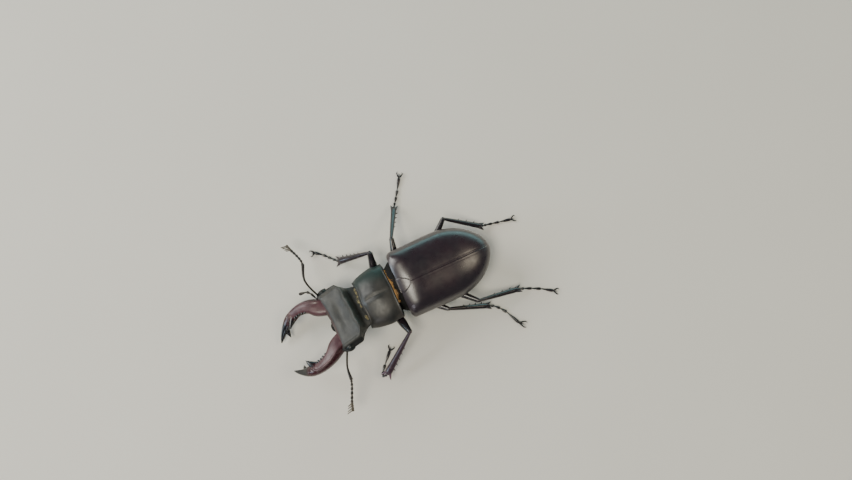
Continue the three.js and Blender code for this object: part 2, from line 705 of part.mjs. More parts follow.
place("head", cutAway(headCapsule(), ...mouthHoles, ...eyeHoles, ...feelerHoles), FINISHES.head);
place("labrum", labrum(), FINISHES.head);
place("mentum", mentum(), FINISHES.belly);
place("pronotum", cutAway(pronotum(), neckHole, trunkHole, ...foreSockets), FINISHES.pronotum);
place("prosternum", cutAway(prosternum(), neckHole, trunkHole, ...foreSockets), FINISHES.belly);
place("scutellum", scutellum(), FINISHES.elytra);
place("pterothorax", cutAway(pterothorax, scutellum(SEAM), ...rearSockets), FINISHES.belly);
place("abdomen", cutAway(abdomen, ...rearSockets), FINISHES.belly);

for (const [side, sign] of SIDES) {
  const feeler = ANTENNAE[side];
  const whip = beaded(feeler.whip, WHIP);
  const jaw = cutAway(mandible(sign), neckHole, ...mouthHoles, ...feelerHoles);
  place(`mandible_${side}`, jaw, FINISHES.mandible);
  place(`eye_${side}`, cutAway(eye(sign), ...feelerHoles), FINISHES.eye);
  place(`elytron_${side}`, elytron(sign), FINISHES.elytra);
  place(`antenna_scape_${side}`, scape(feeler), FINISHES.leg);
  place(`antenna_funicle_${side}`, cutAway(whip, scape(feeler, SEAM)), FINISHES.leg);
  place(`antenna_club_${side}`, cutAway(club(feeler, sign), whip), FINISHES.leg);
  place(`palp_${side}`, cutAway(palp(PALPS[side]), neckHole, ...mouthHoles), FINISHES.leg);
}

for (const name of LEG_NAMES) {
  const shin = cutAway(tibia(name), femur(name, SEAM));
  place(`coxa_${name}`, coxa(name), FINISHES.leg);
  place(`femur_${name}`, cutAway(femur(name), coxa(name, SEAM)), FINISHES.leg);
  place(`tibia_${name}`, shin, FINISHES.leg);
  place(`tarsus_${name}`, cutAway(tarsus(name), shin), FINISHES.leg);
}

export default group;
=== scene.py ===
"""Looks of the stag beetle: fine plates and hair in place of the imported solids, finishes and a studio.

Shapes are worked out in millimetres for a straight beetle, then each region turns into the pose.
Frame: +Z up, the head points to -Y, +X is the beetle's own left side.
"""

import math

import bpy
import numpy as np
from mathutils import Matrix, Vector


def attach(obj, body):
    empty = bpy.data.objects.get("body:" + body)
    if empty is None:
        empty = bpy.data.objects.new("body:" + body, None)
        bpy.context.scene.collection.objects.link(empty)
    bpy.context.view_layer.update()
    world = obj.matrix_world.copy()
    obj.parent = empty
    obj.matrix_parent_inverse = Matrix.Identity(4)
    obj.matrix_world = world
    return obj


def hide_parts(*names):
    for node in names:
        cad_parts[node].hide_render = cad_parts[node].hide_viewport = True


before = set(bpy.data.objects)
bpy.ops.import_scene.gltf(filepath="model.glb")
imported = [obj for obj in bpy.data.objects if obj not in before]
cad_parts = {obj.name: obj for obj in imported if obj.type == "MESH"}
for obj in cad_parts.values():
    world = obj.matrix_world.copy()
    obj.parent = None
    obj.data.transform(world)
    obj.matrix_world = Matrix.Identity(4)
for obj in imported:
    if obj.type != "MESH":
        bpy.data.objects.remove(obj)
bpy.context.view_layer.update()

# ---- driving sizes, in millimetres

MM = 0.001
TURN = 2 * math.pi
FOOTPRINT_CENTRE = np.array([-3.13, 4.08, 0.0])
SIDES = {"left": 1, "right": -1}

BODY = {"pivot": (0, 8, 7), "turn": (-5, 6, 0), "lift": 1.1}
PROTHORAX = {"pivot": (0, 0, 8.5), "turn": (12.5, -12.2, -0.6), "lift": 0}
NECK = {"pivot": (0, -10.5, 8.5), "turn": (4.7, -10.1, 4.8), "lift": 0}

ELYTRA = {
    "base": 0.35, "tip": 26.5, "half_width": 8.9, "dome": 4.8, "margin_front": 8.2, "margin_rear": 7.3,
    "boxiness": 2.35, "thickness": 0.45, "suture_gap": 0.01, "base_drop": 1.5,
}
SCUTELLUM = {"half_width": 2.0, "front": 0.2, "tip": 3.2, "top": 11.85, "depth": 1.0}
EYE = {"centre": (7.95, -16.6, 8.95), "radii": (0.98, 1.28, 1.03)}
WAIST = 11.6

PRONOTUM_ROWS = [
    (6.15, 10.2, 7.5, 6.2), (6.7, 10.8, 7.75, 6.0), (7.05, 11.15, 7.9, 5.9), (7.3, 11.35, 8.0, 5.9),
    (7.42, 11.35, 8.05, 5.9), (7.15, 11.2, 8.1, 6.0), (7.2, 10.85, 8.1, 6.2),
]
PROSTERNUM_ROWS = [
    (-8.9, 4.2, 5.7, 4.4), (-7.4, 5.0, 5.75, 3.7), (-5.0, 5.3, 5.75, 3.3), (-3.0, 5.0, 5.75, 3.4),
    (-1.8, 4.2, 5.85, 4.0),
]
HEAD_ROWS = [
    (-17.5, -1.1, 7.75, 9.65, 8.7, 6.8), (-17.15, -1.0, 8.2, 10.05, 8.75, 6.2),
    (-16.2, -0.5, 8.5, 10.3, 8.75, 5.6), (-14.7, -0.2, 8.5, 10.55, 8.7, 5.2),
    (-13.1, -0.2, 8.3, 10.85, 8.6, 5.0), (-11.75, -0.85, 7.3, 11.1, 8.5, 4.9),
    (-11.2, -0.6, 6.6, 10.7, 8.3, 4.9), (-10.7, -0.2, 6.0, 9.75, 8.1, 5.0),
    (-9.7, 0, 5.6, 9.5, 7.9, 5.2), (-8.7, 0, 5.2, 9.2, 7.8, 5.5),
]
TRUNK_ROWS = [
    (-1.9, 4.6, 9.6, 7.8, 5.6), (-0.4, 5.8, 10.3, 7.6, 4.6), (1.2, 6.8, 10.6, 7.3, 3.9),
    (4.5, 7.5, 10.9, 7.0, 3.5), (9.0, 7.9, 11.1, 6.8, 3.3), (14.0, 7.9, 11.1, 6.7, 3.5),
    (19.0, 6.9, 10.0, 6.5, 4.1), (23.0, 4.7, 8.4, 6.4, 5.0), (25.0, 2.2, 7.2, 6.3, 5.6),
]
MANDIBLE_ROWS = [
    (4.9, -17.0, 8.0, 2.45, 1.5), (5.75, -19.5, 8.45, 2.25, 1.6), (7.15, -21.45, 8.85, 1.78, 1.5),
    (7.85, -23.4, 8.8, 1.5, 1.4), (7.97, -25.5, 8.45, 1.36, 1.33), (7.55, -27.6, 7.95, 1.28, 1.2),
    (6.75, -29.3, 7.3, 1.08, 1.0), (5.75, -30.85, 6.8, 0.7, 0.68), (4.75, -32.05, 6.4, 0.36, 0.4),
    (4.1, -32.7, 6.15, 0.1, 0.12),
]
INNER_TOOTH = [
    (7.5, -26.2, 8.35, 1.35, 0.95), (6.5, -26.95, 8.75, 0.95, 0.62), (5.5, -27.6, 9.0, 0.5, 0.38),
    (4.6, -28.0, 9.15, 0.06, 0.06),
]
FORK_PRONG = [(6.6, -29.6, 7.1, 0.8, 0.7), (5.2, -29.9, 6.4, 0.5, 0.45), (4.15, -29.95, 5.85, 0.06, 0.06)]
DENTICLES = [(0.3, 0.26), (0.345, 0.38), (0.385, 0.3), (0.425, 0.42), (0.462, 0.32), (0.498, 0.42)]
EYE_BAR = [
    (7.35, -18.3, 9.25, 0.5, 0.35), (8.2, -17.75, 9.35, 0.42, 0.26), (8.75, -16.8, 9.3, 0.3, 0.17),
    (8.7, -15.7, 9.2, 0.22, 0.12),
]
LABRUM_ROWS = [(0, -16.9, 8.6, 2.6, 0.42), (0, -17.6, 8.35, 2.0, 0.36), (0, -18.15, 8.05, 1.0, 0.26)]
MENTUM_ROWS = [
    (0, -13.8, 4.8, 2.6, 0.5), (0, -16.2, 4.95, 3.4, 0.55), (0, -18.2, 5.5, 2.4, 0.6),
    (0, -19.0, 5.8, 1.2, 0.4),
]

FEELER_ROOT = (7.5, -17.9, 7.9)
# A club runs from the end of its whip to the point given here.
ANTENNAE = {
    "left": {
        "scape": [(12.6, -18.5, 8.9), (15.6, -18.8, 9.1)],
        "whip": [(15.75, -18.85, 9.05), (17.1, -19.3, 8.6), (19.0, -20.2, 7.7), (20.7, -21.0, 6.8)],
        "club": (22.7, -21.7, 5.5),
    },
    "right": {
        "scape": [(-10.4, -19.5, 9.6), (-14.5, -18.5, 9.3)],
        "whip": [(-14.65, -18.45, 9.25), (-16.0, -18.5, 8.8), (-17.9, -19.1, 7.9), (-19.6, -19.8, 7.0)],
        "club": (-21.6, -20.5, 5.7),
    },
}
PALPS = {
    "left": [(5.2, -17.5, 5.2), (7.9, -19.2, 5.1), (8.2, -20.7, 4.6), (7.6, -22.2, 3.8)],
    "right": [(-5.2, -17.4, 5.0), (-6.9, -19.4, 4.5), (-8.6, -20.1, 4.5), (-9.2, -22.6, 3.7)],
}
COXAE = {"fore": (2.9, -4.15, 3.65), "mid": (2.75, 2.65, 3.35), "hind": (2.5, 9.6, 3.35)}
COXA_RADII = (1.8, 1.3, 1.2)
TOE_HEIGHT = 0.35
# The last of the toes is where the claws point; the toes lie level.
LEGS = {
    "fore_left": {
        "hip": (3.6, -3.5, 3.4), "knee": (11.4, -1.25, 7.7), "ankle": (18.25, -10.4, 2.6),
        "foot": [(18.6, -11.3, 1.4), (18.1, -11.9, 0.5)],
        "toes": [(16.6, -10.7), (14.6, -8.9), (13.3, -7.6), (12.4, -6.6)],
    },
    "fore_right": {
        "hip": (-2.6, -4.6, 3.3), "knee": (-10.7, -2.2, 8.85), "ankle": (-13.2, -9.95, 1.7),
        "foot": [(-13.8, -10.65, 0.95), (-14.9, -11.6, 0.4)],
        "toes": [(-16.3, -12.8), (-17.5, -14.0), (-18.2, -15.0), (-18.3, -16.2)],
    },
    "mid_left": {
        "hip": (2.9, 2.7, 2.95), "knee": (10.3, 10.2, 5.9), "ankle": (13.65, 20.2, 2.05),
        "foot": [(13.9, 21.0, 1.1), (14.8, 22.4, 0.4)],
        "toes": [(16.6, 24.0), (19.0, 25.0), (21.2, 26.1), (22.5, 27.7)],
    },
    "mid_right": {
        "hip": (-2.6, 2.6, 2.95), "knee": (-12.1, 4.4, 7.3), "ankle": (-20.1, 8.8, 1.75),
        "foot": [(-20.9, 9.3, 0.95), (-22.2, 10.2, 0.4)],
        "toes": [(-24.1, 11.5), (-26.1, 12.8), (-27.7, 13.8), (-29.1, 14.7)],
    },
    "hind_left": {
        "hip": (2.55, 9.6, 2.95), "knee": (11.64, 18.05, 6.1), "ankle": (13.15, 29.3, 2.05),
        "foot": [(13.3, 30.2, 1.1), (13.9, 31.9, 0.4)],
        "toes": [(15.2, 34.7), (16.6, 37.1), (17.5, 38.3), (18.3, 39.5)],
    },
    "hind_right": {
        "hip": (-2.5, 9.6, 2.95), "knee": (-11.2, 18.6, 7.3), "ankle": (-6.25, 27.9, 1.8),
        "foot": [(-6.1, 28.9, 1.0), (-6.0, 30.3, 0.4)],
        "toes": [(-5.5, 32.6), (-5.0, 35.0), (-4.7, 36.6), (-4.5, 38.0)],
    },
}
LEG_BUILD = {
    "fore": {"thigh": (0.75, 1.05, 0.8), "shin": (0.48, 0.6, 0.9), "spines": 5},
    "mid": {"thigh": (0.7, 0.92, 0.72), "shin": (0.48, 0.54, 0.68), "spines": 4},
    "hind": {"thigh": (0.72, 0.9, 0.72), "shin": (0.48, 0.54, 0.68), "spines": 3},
}
SHIN_FLATNESS = 0.72
END_DOME = 0.5  # how far a rounded end reaches, in half-widths
# Shares of the lighter brown tone: the fore shins' larger shares, the left's most, are painted light.
SHIN_BROWN_AND_PAINTED_LIGHT = {"fore_left": 0.3, "fore_right": 0.08}
OTHER_SHIN_BROWN = 0.03
FOOT_JOINTS = (0, 0.17, 0.33, 0.5, 0.66, 1.0)
BELLY_RINGS = 5
FRONT_BOW = 1.1
HEAD_EDGE = 8.4

# ---- small maths


def mix(a, b, t):
    return a + (b - a) * t


def smooth(edge0, edge1, x):
    t = np.clip((x - edge0) / (edge1 - edge0), 0, 1)
    return t * t * (3 - 2 * t)


def bump(x, centre, width):
    """A bell of height 1."""
    return np.exp(-(((x - centre) / width) ** 2))


def signed_power(value, power):
    return np.sign(value) * np.abs(value) ** power


def unit(v):
    v = np.asarray(v, float)
    return v / np.maximum(np.linalg.norm(v, axis=-1, keepdims=True), 1e-12)


def along_rows(rows, t):
    """Smooth curve through rows of numbers, for an array of t from 0 to 1."""
    rows = np.asarray(rows, float)
    last = len(rows) - 1
    place = np.clip(np.asarray(t, float), 0, 1) * last
    i = np.minimum(np.floor(place).astype(int), last - 1)
    f = (place - i)[..., None]
    start, end = rows[i], rows[i + 1]
    slope_in = (end - rows[np.maximum(i - 1, 0)]) / 2
    slope_out = (rows[np.minimum(i + 2, last)] - start) / 2
    cubic = 2 * start - 2 * end + slope_in + slope_out
    square = 3 * end - 3 * start - 2 * slope_in - slope_out
    return ((cubic * f + square) * f + slope_in) * f + start


def turn_about(pivot, turn, lift):
    """A function that turns points about a pivot: first about X, then Y, then Z."""
    (cx, cy, cz), (sx, sy, sz) = np.cos(np.radians(turn)), np.sin(np.radians(turn))
    about_x = np.array([[1, 0, 0], [0, cx, -sx], [0, sx, cx]])
    about_y = np.array([[cy, 0, sy], [0, 1, 0], [-sy, 0, cy]])
    about_z = np.array([[cz, -sz, 0], [sz, cz, 0], [0, 0, 1]])
    matrix = about_z @ about_y @ about_x
    pivot = np.asarray(pivot, float)
    return lambda p: (np.asarray(p, float) - pivot) @ matrix.T + pivot + (0, 0, lift)


def as_drawn(points):
    return points


def on_ground(points):
    return np.stack([points[..., 0], points[..., 1], np.maximum(points[..., 2], 0)], -1)


pose_body = turn_about(**BODY)
bend_thorax = turn_about(**PROTHORAX)
bend_neck = turn_about(**NECK)


def pose_pronotum(points):
    return pose_body(bend_thorax(points))


def pose_head(points):
    return pose_pronotum(bend_neck(points))


# ---- meshes


def tube(grid):
    """Vertices and outward faces of rings of points, one after another, with a fan at each end."""
    rings, sides = grid.shape[:2]
    hubs = np.array([grid[0].mean(0), grid[-1].mean(0)])
    points = np.vstack([grid.reshape(-1, 3), hubs])
    start = (np.arange(rings - 1) * sides)[:, None]
    here, after = np.arange(sides), (np.arange(sides) + 1) % sides
    corners = [start + here, start + after, start + sides + after, start + sides + here]
    quads = np.stack(corners, -1).reshape(-1, 4)
    first, last, rear = rings * sides + 0 * here, rings * sides + 1 + 0 * here, (rings - 1) * sides
    front_fan = np.stack([first, after, here], -1)
    rear_fan = np.stack([last, rear + here, rear + after], -1)
    fans = np.concatenate([front_fan, rear_fan])
    triangles = points[np.concatenate([quads[:, :3], quads[:, [0, 2, 3]], fans])] - hubs[0]
    volume = np.sum(triangles[:, 0] * np.cross(triangles[:, 1], triangles[:, 2]))
    turn = 1 if volume > 0 else -1
    return points, quads[:, ::turn].tolist() + fans[:, ::turn].tolist()


def joined(*parts):
    """Several (points, faces) meshes as one."""
    points, faces, start = [], [], 0
    for part_points, part_faces in parts:
        points.append(part_points)
        faces += [[i + start for i in face] for face in part_faces]
        start += len(part_points)
    return np.vstack(points), faces


def placed(name, data):
    """A new object in the scene."""
    made = bpy.data.objects.new(name, data)
    bpy.context.scene.collection.objects.link(made)
    return made


def piece(name, mesh, material, slot, nodes=(), shade=None, uv=None):
    """A Blender object in the frame, from a mesh in millimetres. shade is one number per vertex."""
    points, faces = mesh
    data = bpy.data.meshes.new(name)
    data.from_pydata(((points - FOOTPRINT_CENTRE) * MM).tolist(), [], faces)
    data.update()
    data.polygons.foreach_set("use_smooth", [True] * len(data.polygons))
    if shade is not None:
        values = np.zeros(len(points))
        values[: len(shade)] = shade
        data.attributes.new("shade", "FLOAT", "POINT").data.foreach_set("value", values)
    if uv is not None:
        layer = data.uv_layers.new(name="OFBake")
        loops = np.empty(len(data.loops), int)
        data.loops.foreach_get("vertex_index", loops)
        layer.data.foreach_set("uv", np.asarray(uv)[loops].ravel())
    data.materials.append(material)
    made = placed(name, data)
    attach(made, "root")
    if nodes:
        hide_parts(*nodes)
    return made


def rings_along(rows, rings, sides, square=2.0, pose=as_drawn, ribs=None):
    """Rings of an elliptic section along a curve: rows of x, y, z, half-width and half-height."""
    t = np.linspace(0, 1, rings)
    row = along_rows(rows, t)
    centre = row[:, :3]
    forward = unit(np.gradient(centre, axis=0))
    side = unit(np.cross(forward, (0, 0, 1)))
    over = np.cross(side, forward)
    angle = TURN * (np.arange(sides) + 0.5) / sides
    across = signed_power(np.cos(angle), 2 / square)
    upward = signed_power(np.sin(angle), 2 / square)
    reach = np.ones((rings, sides)) if ribs is None else ribs(t[:, None], angle[None, :])
    grid = (
        centre[:, None]
        + side[:, None] * (across * row[:, 3:4] * reach)[..., None]
        + over[:, None] * (upward * row[:, 4:5] * reach)[..., None]
    )
    return pose(grid)


def rounded_ends(rows):
    """The same rows with a quickly closing first and last one, for domed ends."""
    rows = [list(row) for row in rows]
    out = []
    for row, neighbour in ((rows[0], rows[1]), (rows[-1], rows[-2])):
        heading = unit(np.subtract(row[:3], neighbour[:3]))
        steps = []
        for turn in (0.96, 0.75, 0.45, 0.12):
            reach = END_DOME * row[3] * math.sqrt(1 - turn * turn)
            steps.append([*(np.array(row[:3]) + heading * reach), row[3] * turn, row[4] * turn])
        out.append(steps)
    return out[0][::-1] + rows + out[1]


def mirrored(rows, side):
    """Rows given for the left side, on the side asked for."""
    return [(side * x, *rest) for x, *rest in rows]


def ring_places(count):
    """Places round a section, as parts of a whole turn from the left side over the top."""
    return (np.arange(count) + 0.5) / count


def topness(around):
    """1 on top of a section, falling to 0 at its sides and below."""
    return np.clip(np.sin(around * TURN), 0, 1) ** 0.5


def straight(y):
    """A section's y that stays the same all the way across."""
    return lambda q: y[:, None] + 0 * q


def body_ring(around, y_at, half, top, middle, bottom, box_top=2.2, box_bottom=2.4, tuck=0.0):
    """Straight-beetle points of sections across the body, for arrays of rows and places round them."""
    angle = around * TURN
    half, top, middle, bottom = (np.asarray(v, float)[..., None] for v in (half, top, middle, bottom))
    upper = np.sin(angle) >= 0
    power = np.where(upper, 2 / box_top, 2 / box_bottom)
    height = np.abs(np.sin(angle)) ** power
    narrow = np.where(upper, 1, 1 - tuck * height)
    x = signed_power(np.cos(angle), power) * half * narrow
    z = np.where(upper, middle + (top - middle) * height, middle + (bottom - middle) * height)
    q = np.clip(np.abs(x) / half, 0, 1)
    return np.stack([x, y_at(q), z], -1)


def closing_ring(ring, scale, shift):
    """A ring drawn in towards its middle and moved along Y, to round off an end."""
    middle = ring.mean(1, keepdims=True)
    drawn = middle + (ring - middle) * scale
    drawn[..., 1] += shift
    return drawn


def ball(centre, radii, pose=as_drawn, rings=24, sides=30, pole=0.05):
    """An egg; pole is how near the first and last ring come to its poles, in radians."""
    lean = np.linspace(pole, math.pi - pole, rings)[:, None]
    angle = TURN * np.arange(sides)[None, :] / sides
    wide = np.sin(lean)
    shell = np.stack([wide * np.cos(angle), wide * np.sin(angle), np.cos(lean) + 0 * angle], -1)
    return tube(pose(np.asarray(centre) + shell * radii))


def limb_rows(start, end, sections):
    """Rows for rings_along from sections of (part of the way, half-width, half-height)."""
    return [(*mix(start, end, t), wide, high) for t, wide, high in sections]


def spans(path, places):
    """Neighbouring pairs of points along a path, for the beads between them."""
    knots = along_rows(path, np.asarray(places))
    return list(zip(knots[:-1], knots[1:]))


# ---- finishes


class Finish:
    """A node material made step by step. Sizes of its patterns are in millimetres."""

    def __init__(self, name, roughness=0.4, coat=0.0, coat_roughness=0.1, specular=0.5, sheen=0.0):
        self.material = bpy.data.materials.new(name)
        self.material.use_nodes = True
        self.tree = self.material.node_tree
        self.shader = self.tree.nodes["Principled BSDF"]
        gloss = {"Roughness": roughness, "Coat Weight": coat, "Coat Roughness": coat_roughness}
        self.plug(self.shader, {**gloss, "Specular IOR Level": specular, "Sheen Weight": sheen})
        self.where = self.add("ShaderNodeTexCoord").outputs["Object"]

    def plug(self, node, inputs):
        """Links or sets a node's inputs. Gives the node."""
        for key, value in inputs.items():
            if isinstance(value, bpy.types.NodeSocket):
                self.tree.links.new(value, node.inputs[key])
            else:
                node.inputs[key].default_value = value
        return node

    def add(self, kind, inputs=(), **settings):
        node = self.tree.nodes.new(kind)
        for key, value in settings.items():
            setattr(node, key, value)
        return self.plug(node, dict(inputs))

    def noise(self, size, detail=3.0, stretch=(1, 1, 1)):
        mapped = self.add("ShaderNodeMapping", {"Vector": self.where, "Scale": stretch})
        inputs = {"Vector": mapped.outputs[0], "Scale": 1 / (size * MM), "Detail": detail, "Roughness": 0.5}
        return self.add("ShaderNodeTexNoise", inputs).outputs["Fac"]

    def pits(self, spacing, depth):
        """Small round pits: 0 inside a pit and 1 between them."""
        cells = self.add("ShaderNodeTexVoronoi", {"Vector": self.where, "Scale": 1 / (spacing * MM)})
        return self.spread(cells.outputs["Distance"], 0.0, depth)

    def spread(self, value, low, high, to_low=0.0, to_high=1.0):
        inputs = {"Value": value, "From Min": low, "From Max": high, "To Min": to_low, "To Max": to_high}
        return self.add("ShaderNodeMapRange", inputs, interpolation_type="SMOOTHSTEP").outputs[0]

    def shade(self):
        return self.add("ShaderNodeAttribute", attribute_name="shade").outputs["Fac"]

    def blend(self, amount, first, second):
        """A colour between two, which are (r, g, b) or outputs."""
        first, second = (v if isinstance(v, bpy.types.NodeSocket) else (*v, 1) for v in (first, second))
        return self.add("ShaderNodeMix", {0: amount, 6: first, 7: second}, data_type="RGBA").outputs[2]

    def colour(self, value):
        self.plug(self.shader, {"Base Color": value})
        return self

    def mottled(self, size, dark, light, low=0.35, high=0.65, detail=3.0):
        """A colour that wanders between two over patches of a size."""
        return self.blend(self.spread(self.noise(size, detail), low, high), dark, light)

    def roughness(self, size, low, high, extra=0):
        """Uneven roughness, and extra roughness where the shade is 1."""
        value = self.spread(self.noise(size, 4), 0.3, 0.7, low, high)
        if extra:
            more = self.spread(self.shade(), 0, 1, 0, extra)
            value = self.add("ShaderNodeMath", {0: more, 1: value}).outputs[0]
        self.plug(self.shader, {"Roughness": value})
        return self

    def relief(self, *layers):
        """Bumps, each (height output, depth in millimetres). Gives the finished material."""
        normal = None
        for height, depth in layers:
            inputs = {"Height": height, "Distance": depth * MM, "Strength": 1.0}
            if normal is not None:
                inputs["Normal"] = normal
            normal = self.add("ShaderNodeBump", inputs).outputs["Normal"]
        self.plug(self.shader, {"Normal": normal})
        return self.material


def elytra_finish():
    f = Finish("elytra_shell", roughness=0.34, coat=0.25, coat_roughness=0.28, specular=0.9)
    body = f.mottled(7.0, (0.0095, 0.0052, 0.0092), (0.021, 0.0075, 0.0125), 0.3, 0.7, 2)
    body = f.blend(f.spread(f.noise(0.25, 4), 0.4, 0.8, 0, 0.3), body, (0.04, 0.017, 0.018))
    f.colour(f.blend(f.shade(), body, (0.012, 0.006, 0.007))).roughness(1.5, 0.27, 0.35)
    return f.relief((f.noise(0.3, 5, (1, 0.5, 1)), 0.0025), (f.pits(0.2, 0.3), 0.0015))


def feeler_finish():
    f = Finish("feeler", roughness=0.38, coat=0.1, coat_roughness=0.2, specular=0.35)
    body = f.mottled(0.8, (0.008, 0.0065, 0.006), (0.022, 0.015, 0.012))
    f.colour(f.blend(f.shade(), body, (0.16, 0.13, 0.09)))
    return f.relief((f.noise(0.12, 4), 0.005))


def shell_finish(f, mottle, tones, rough, grain, pits):
    """A mottled colour, tones laid over it where the shade says, uneven roughness, grain and pits."""
    body = f.mottled(*mottle)
    for reach, tone in tones:
        body = f.blend(f.spread(f.shade(), *reach) if reach else f.shade(), body, tone)
    f.colour(body).roughness(*rough)
    return f.relief((f.noise(*grain[:-1]), grain[-1]), (f.pits(*pits[:-1]), pits[-1]))


def eye_finish():
    f = Finish("eye", roughness=0.34, specular=0.35)
    f.colour(f.blend(f.noise(0.5), (0.003, 0.005, 0.0055), (0.009, 0.014, 0.0145)))
    return f.relief((f.pits(0.07, 0.5), 0.004))


def hair_finish(name, dark, light, roughness=0.42, sheen=0.3, depth=0.004):
    f = Finish(name, roughness=roughness, sheen=sheen)
    f.colour(f.mottled(0.4, dark, light, 0.3, 0.7))
    return f.relief((f.noise(0.08, 3), depth))


ELYTRA_SHELL = elytra_finish()
PRONOTUM_SHELL = shell_finish(
    Finish("pronotum_shell", 0.4, coat=0.05, coat_roughness=0.3, specular=0.45),
    mottle=(3.0, (0.018, 0.0185, 0.017), (0.036, 0.033, 0.029)),
    # The teal tone goes on the plate's right side as a painted reflection of the sky; the dark tone goes on
    # the rim beads.
    tones=[((0, -1), (0.013, 0.026, 0.0235)), ((0, 1), (0.008, 0.008, 0.009))],
    rough=(0.7, 0.34, 0.45), grain=(0.25, 5, 0.01), pits=(0.2, 0.35, 0.008),
)
HEAD_SHELL = shell_finish(
    Finish("head_shell", 0.45, coat=0.05, coat_roughness=0.3, specular=0.38),
    mottle=(2.5, (0.027, 0.028, 0.026), (0.05, 0.049, 0.044)),
    # The dark tone is painted shade on the head's flanks, underside, nape and eye bars; the reddish tone is
    # the front lip's own colour.
    tones=[((0, 1), (0.006, 0.0065, 0.007)), ((0, -1), (0.12, 0.04, 0.045))],
    rough=(0.5, 0.38, 0.52, 0.3), grain=(0.2, 5, 0.015), pits=(0.16, 0.4, 0.015),
)
MANDIBLE_HORN = shell_finish(
    Finish("mandible_horn", 0.34, coat=0.15, coat_roughness=0.25),
    mottle=(1.8, (0.06, 0.019, 0.026), (0.1, 0.043, 0.05), 0.3, 0.7, 2),
    # Up to shade 0.5 the dark maroon is painted shade on the jaws' outer sides and undersides; above 0.5 the
    # tips and teeth go near black.
    tones=[((0, 0.5), (0.036, 0.0055, 0.0095)), ((0.5, 1), (0.005, 0.005, 0.007))],
    rough=(0.5, 0.3, 0.42, -0.15), grain=(0.3, 5, 0.005), pits=(0.25, 0.3, 0.004),
)
LEG_SHELL = shell_finish(
    Finish("leg_shell", 0.24, coat=0.28),
    mottle=(1.5, (0.006, 0.006, 0.0075), (0.016, 0.011, 0.015)),
    # The brown tone is partly the legs' own colour and partly painted light on the fore shins.
    tones=[(None, (0.12, 0.062, 0.09))],
    rough=(0.6, 0.17, 0.28), grain=(0.25, 4, 0.002), pits=(0.25, 0.3, 0.0015),
)
FEELER = feeler_finish()
BELLY_SHELL = shell_finish(
    Finish("belly_shell", 0.4, specular=0.3),
    mottle=(2.0, (0.01, 0.0075, 0.007), (0.026, 0.017, 0.014)),
    # The near-black tone is painted shade on the chest's top at the waist; the mentum is darkened with it
    # too.
    tones=[(None, (0.003, 0.0028, 0.0026))],
    rough=(0.5, 0.36, 0.5, 0.35), grain=(0.22, 5, 0.012), pits=(0.2, 0.35, 0.012),
)
EYE_GLOSS = eye_finish()
GOLDEN_HAIR = hair_finish("golden_hair", (0.32, 0.13, 0.025), (0.72, 0.42, 0.12))
PALE_HAIR = hair_finish("pale_hair", (0.16, 0.12, 0.035), (0.62, 0.52, 0.24), 0.45)
BRISTLE = hair_finish("bristle", (0.03, 0.016, 0.01), (0.12, 0.06, 0.03), 0.4, 0.0, 0.003)

# ---- wing cases


def tip_taper(t, bend, close):
    """1 along the front half of the wing cases, then closing towards their tip."""
    return np.where(t > 0.5, (1 - (np.maximum(t - 0.5, 0) / 0.5) ** bend) ** close, 1)


def near_base(y, reach):
    """1 at the base of the wing cases, falling to 0 within reach."""
    return np.clip(1 - (y - ELYTRA["base"]) / reach, 0, 1)


def elytra_half_width(t):
    shoulder = 1 - 0.09 * (1 - np.clip(t / 0.05, 0, 1)) ** 2 - 0.04 * (1 - np.clip(t / 0.4, 0, 1))
    return ELYTRA["half_width"] * shoulder * np.maximum(tip_taper(t, 2.1, 0.62), 0.02)


def elytra_margin(t):
    return mix(ELYTRA["margin_front"], ELYTRA["margin_rear"], smooth(-0.05, 0.55, t))


def elytra_crest(t):
    front = 1 - 0.17 * (1 - np.clip(t / 0.5, 0, 1)) ** 2
    return elytra_margin(t) + ELYTRA["dome"] * front * np.maximum(tip_taper(t, 2.5, 0.5), 0.05)


def elytra_drop(y):
    """How far the base of the wing cases rolls down towards the pronotum."""
    return ELYTRA["base_drop"] * near_base(y, 6.5) ** 3


def scutellum_half_width(y):
    t = np.clip((y - SCUTELLUM["front"]) / (SCUTELLUM["tip"] - SCUTELLUM["front"]), 0, 1)
    return SCUTELLUM["half_width"] * np.sqrt(1 - t**1.5)


def elytron_surface(side, along, across):
    """Straight-beetle points of a wing case: along from its front, across from the suture to the edge."""
    boxiness = ELYTRA["boxiness"]
    t = (1 - np.cos(math.pi * along**1.05)) / 2 * 0.997
    y = mix(ELYTRA["base"], ELYTRA["tip"], t)
    half = elytra_half_width(t)
    inner = np.minimum(scutellum_half_width(y) + ELYTRA["suture_gap"], half * 0.6)
    angle = math.pi / 2 * across * 1.06
    x = mix(inner, half, np.sin(angle) ** (2 / boxiness))
    dome = (1 - np.clip(x / half, 0, 1) ** boxiness) ** (1 / boxiness)
    height = np.where(angle < math.pi / 2, dome, signed_power(np.cos(angle), 2 / boxiness))
    z = mix(elytra_margin(t), elytra_crest(t), height)
    z = z - elytra_drop(y) * np.clip(height, 0, 1)
    z = z + 0.2 * bump(x, 6.0, 1.5) * bump(y, 3.0, 1.8)
    seam = smooth(SCUTELLUM["tip"] - 0.6, SCUTELLUM["tip"] + 0.6, y)
    z = z - seam * (0.014 * bump(x - inner, 0.5, 0.2) + 0.04 * bump(x - inner, 0, 0.07))
    edge = half - x
    rim = bump(edge, 0.0, 0.3) * smooth(0.75, 1, across)
    x = x + 0.1 * rim - 0.06 * bump(edge, 0.55, 0.25) * (height > 0)
    y = y + 0.45 * near_base(y, 3.5) ** 2 * (x / half) ** 6
    return np.stack([side * x, y, z], -1)


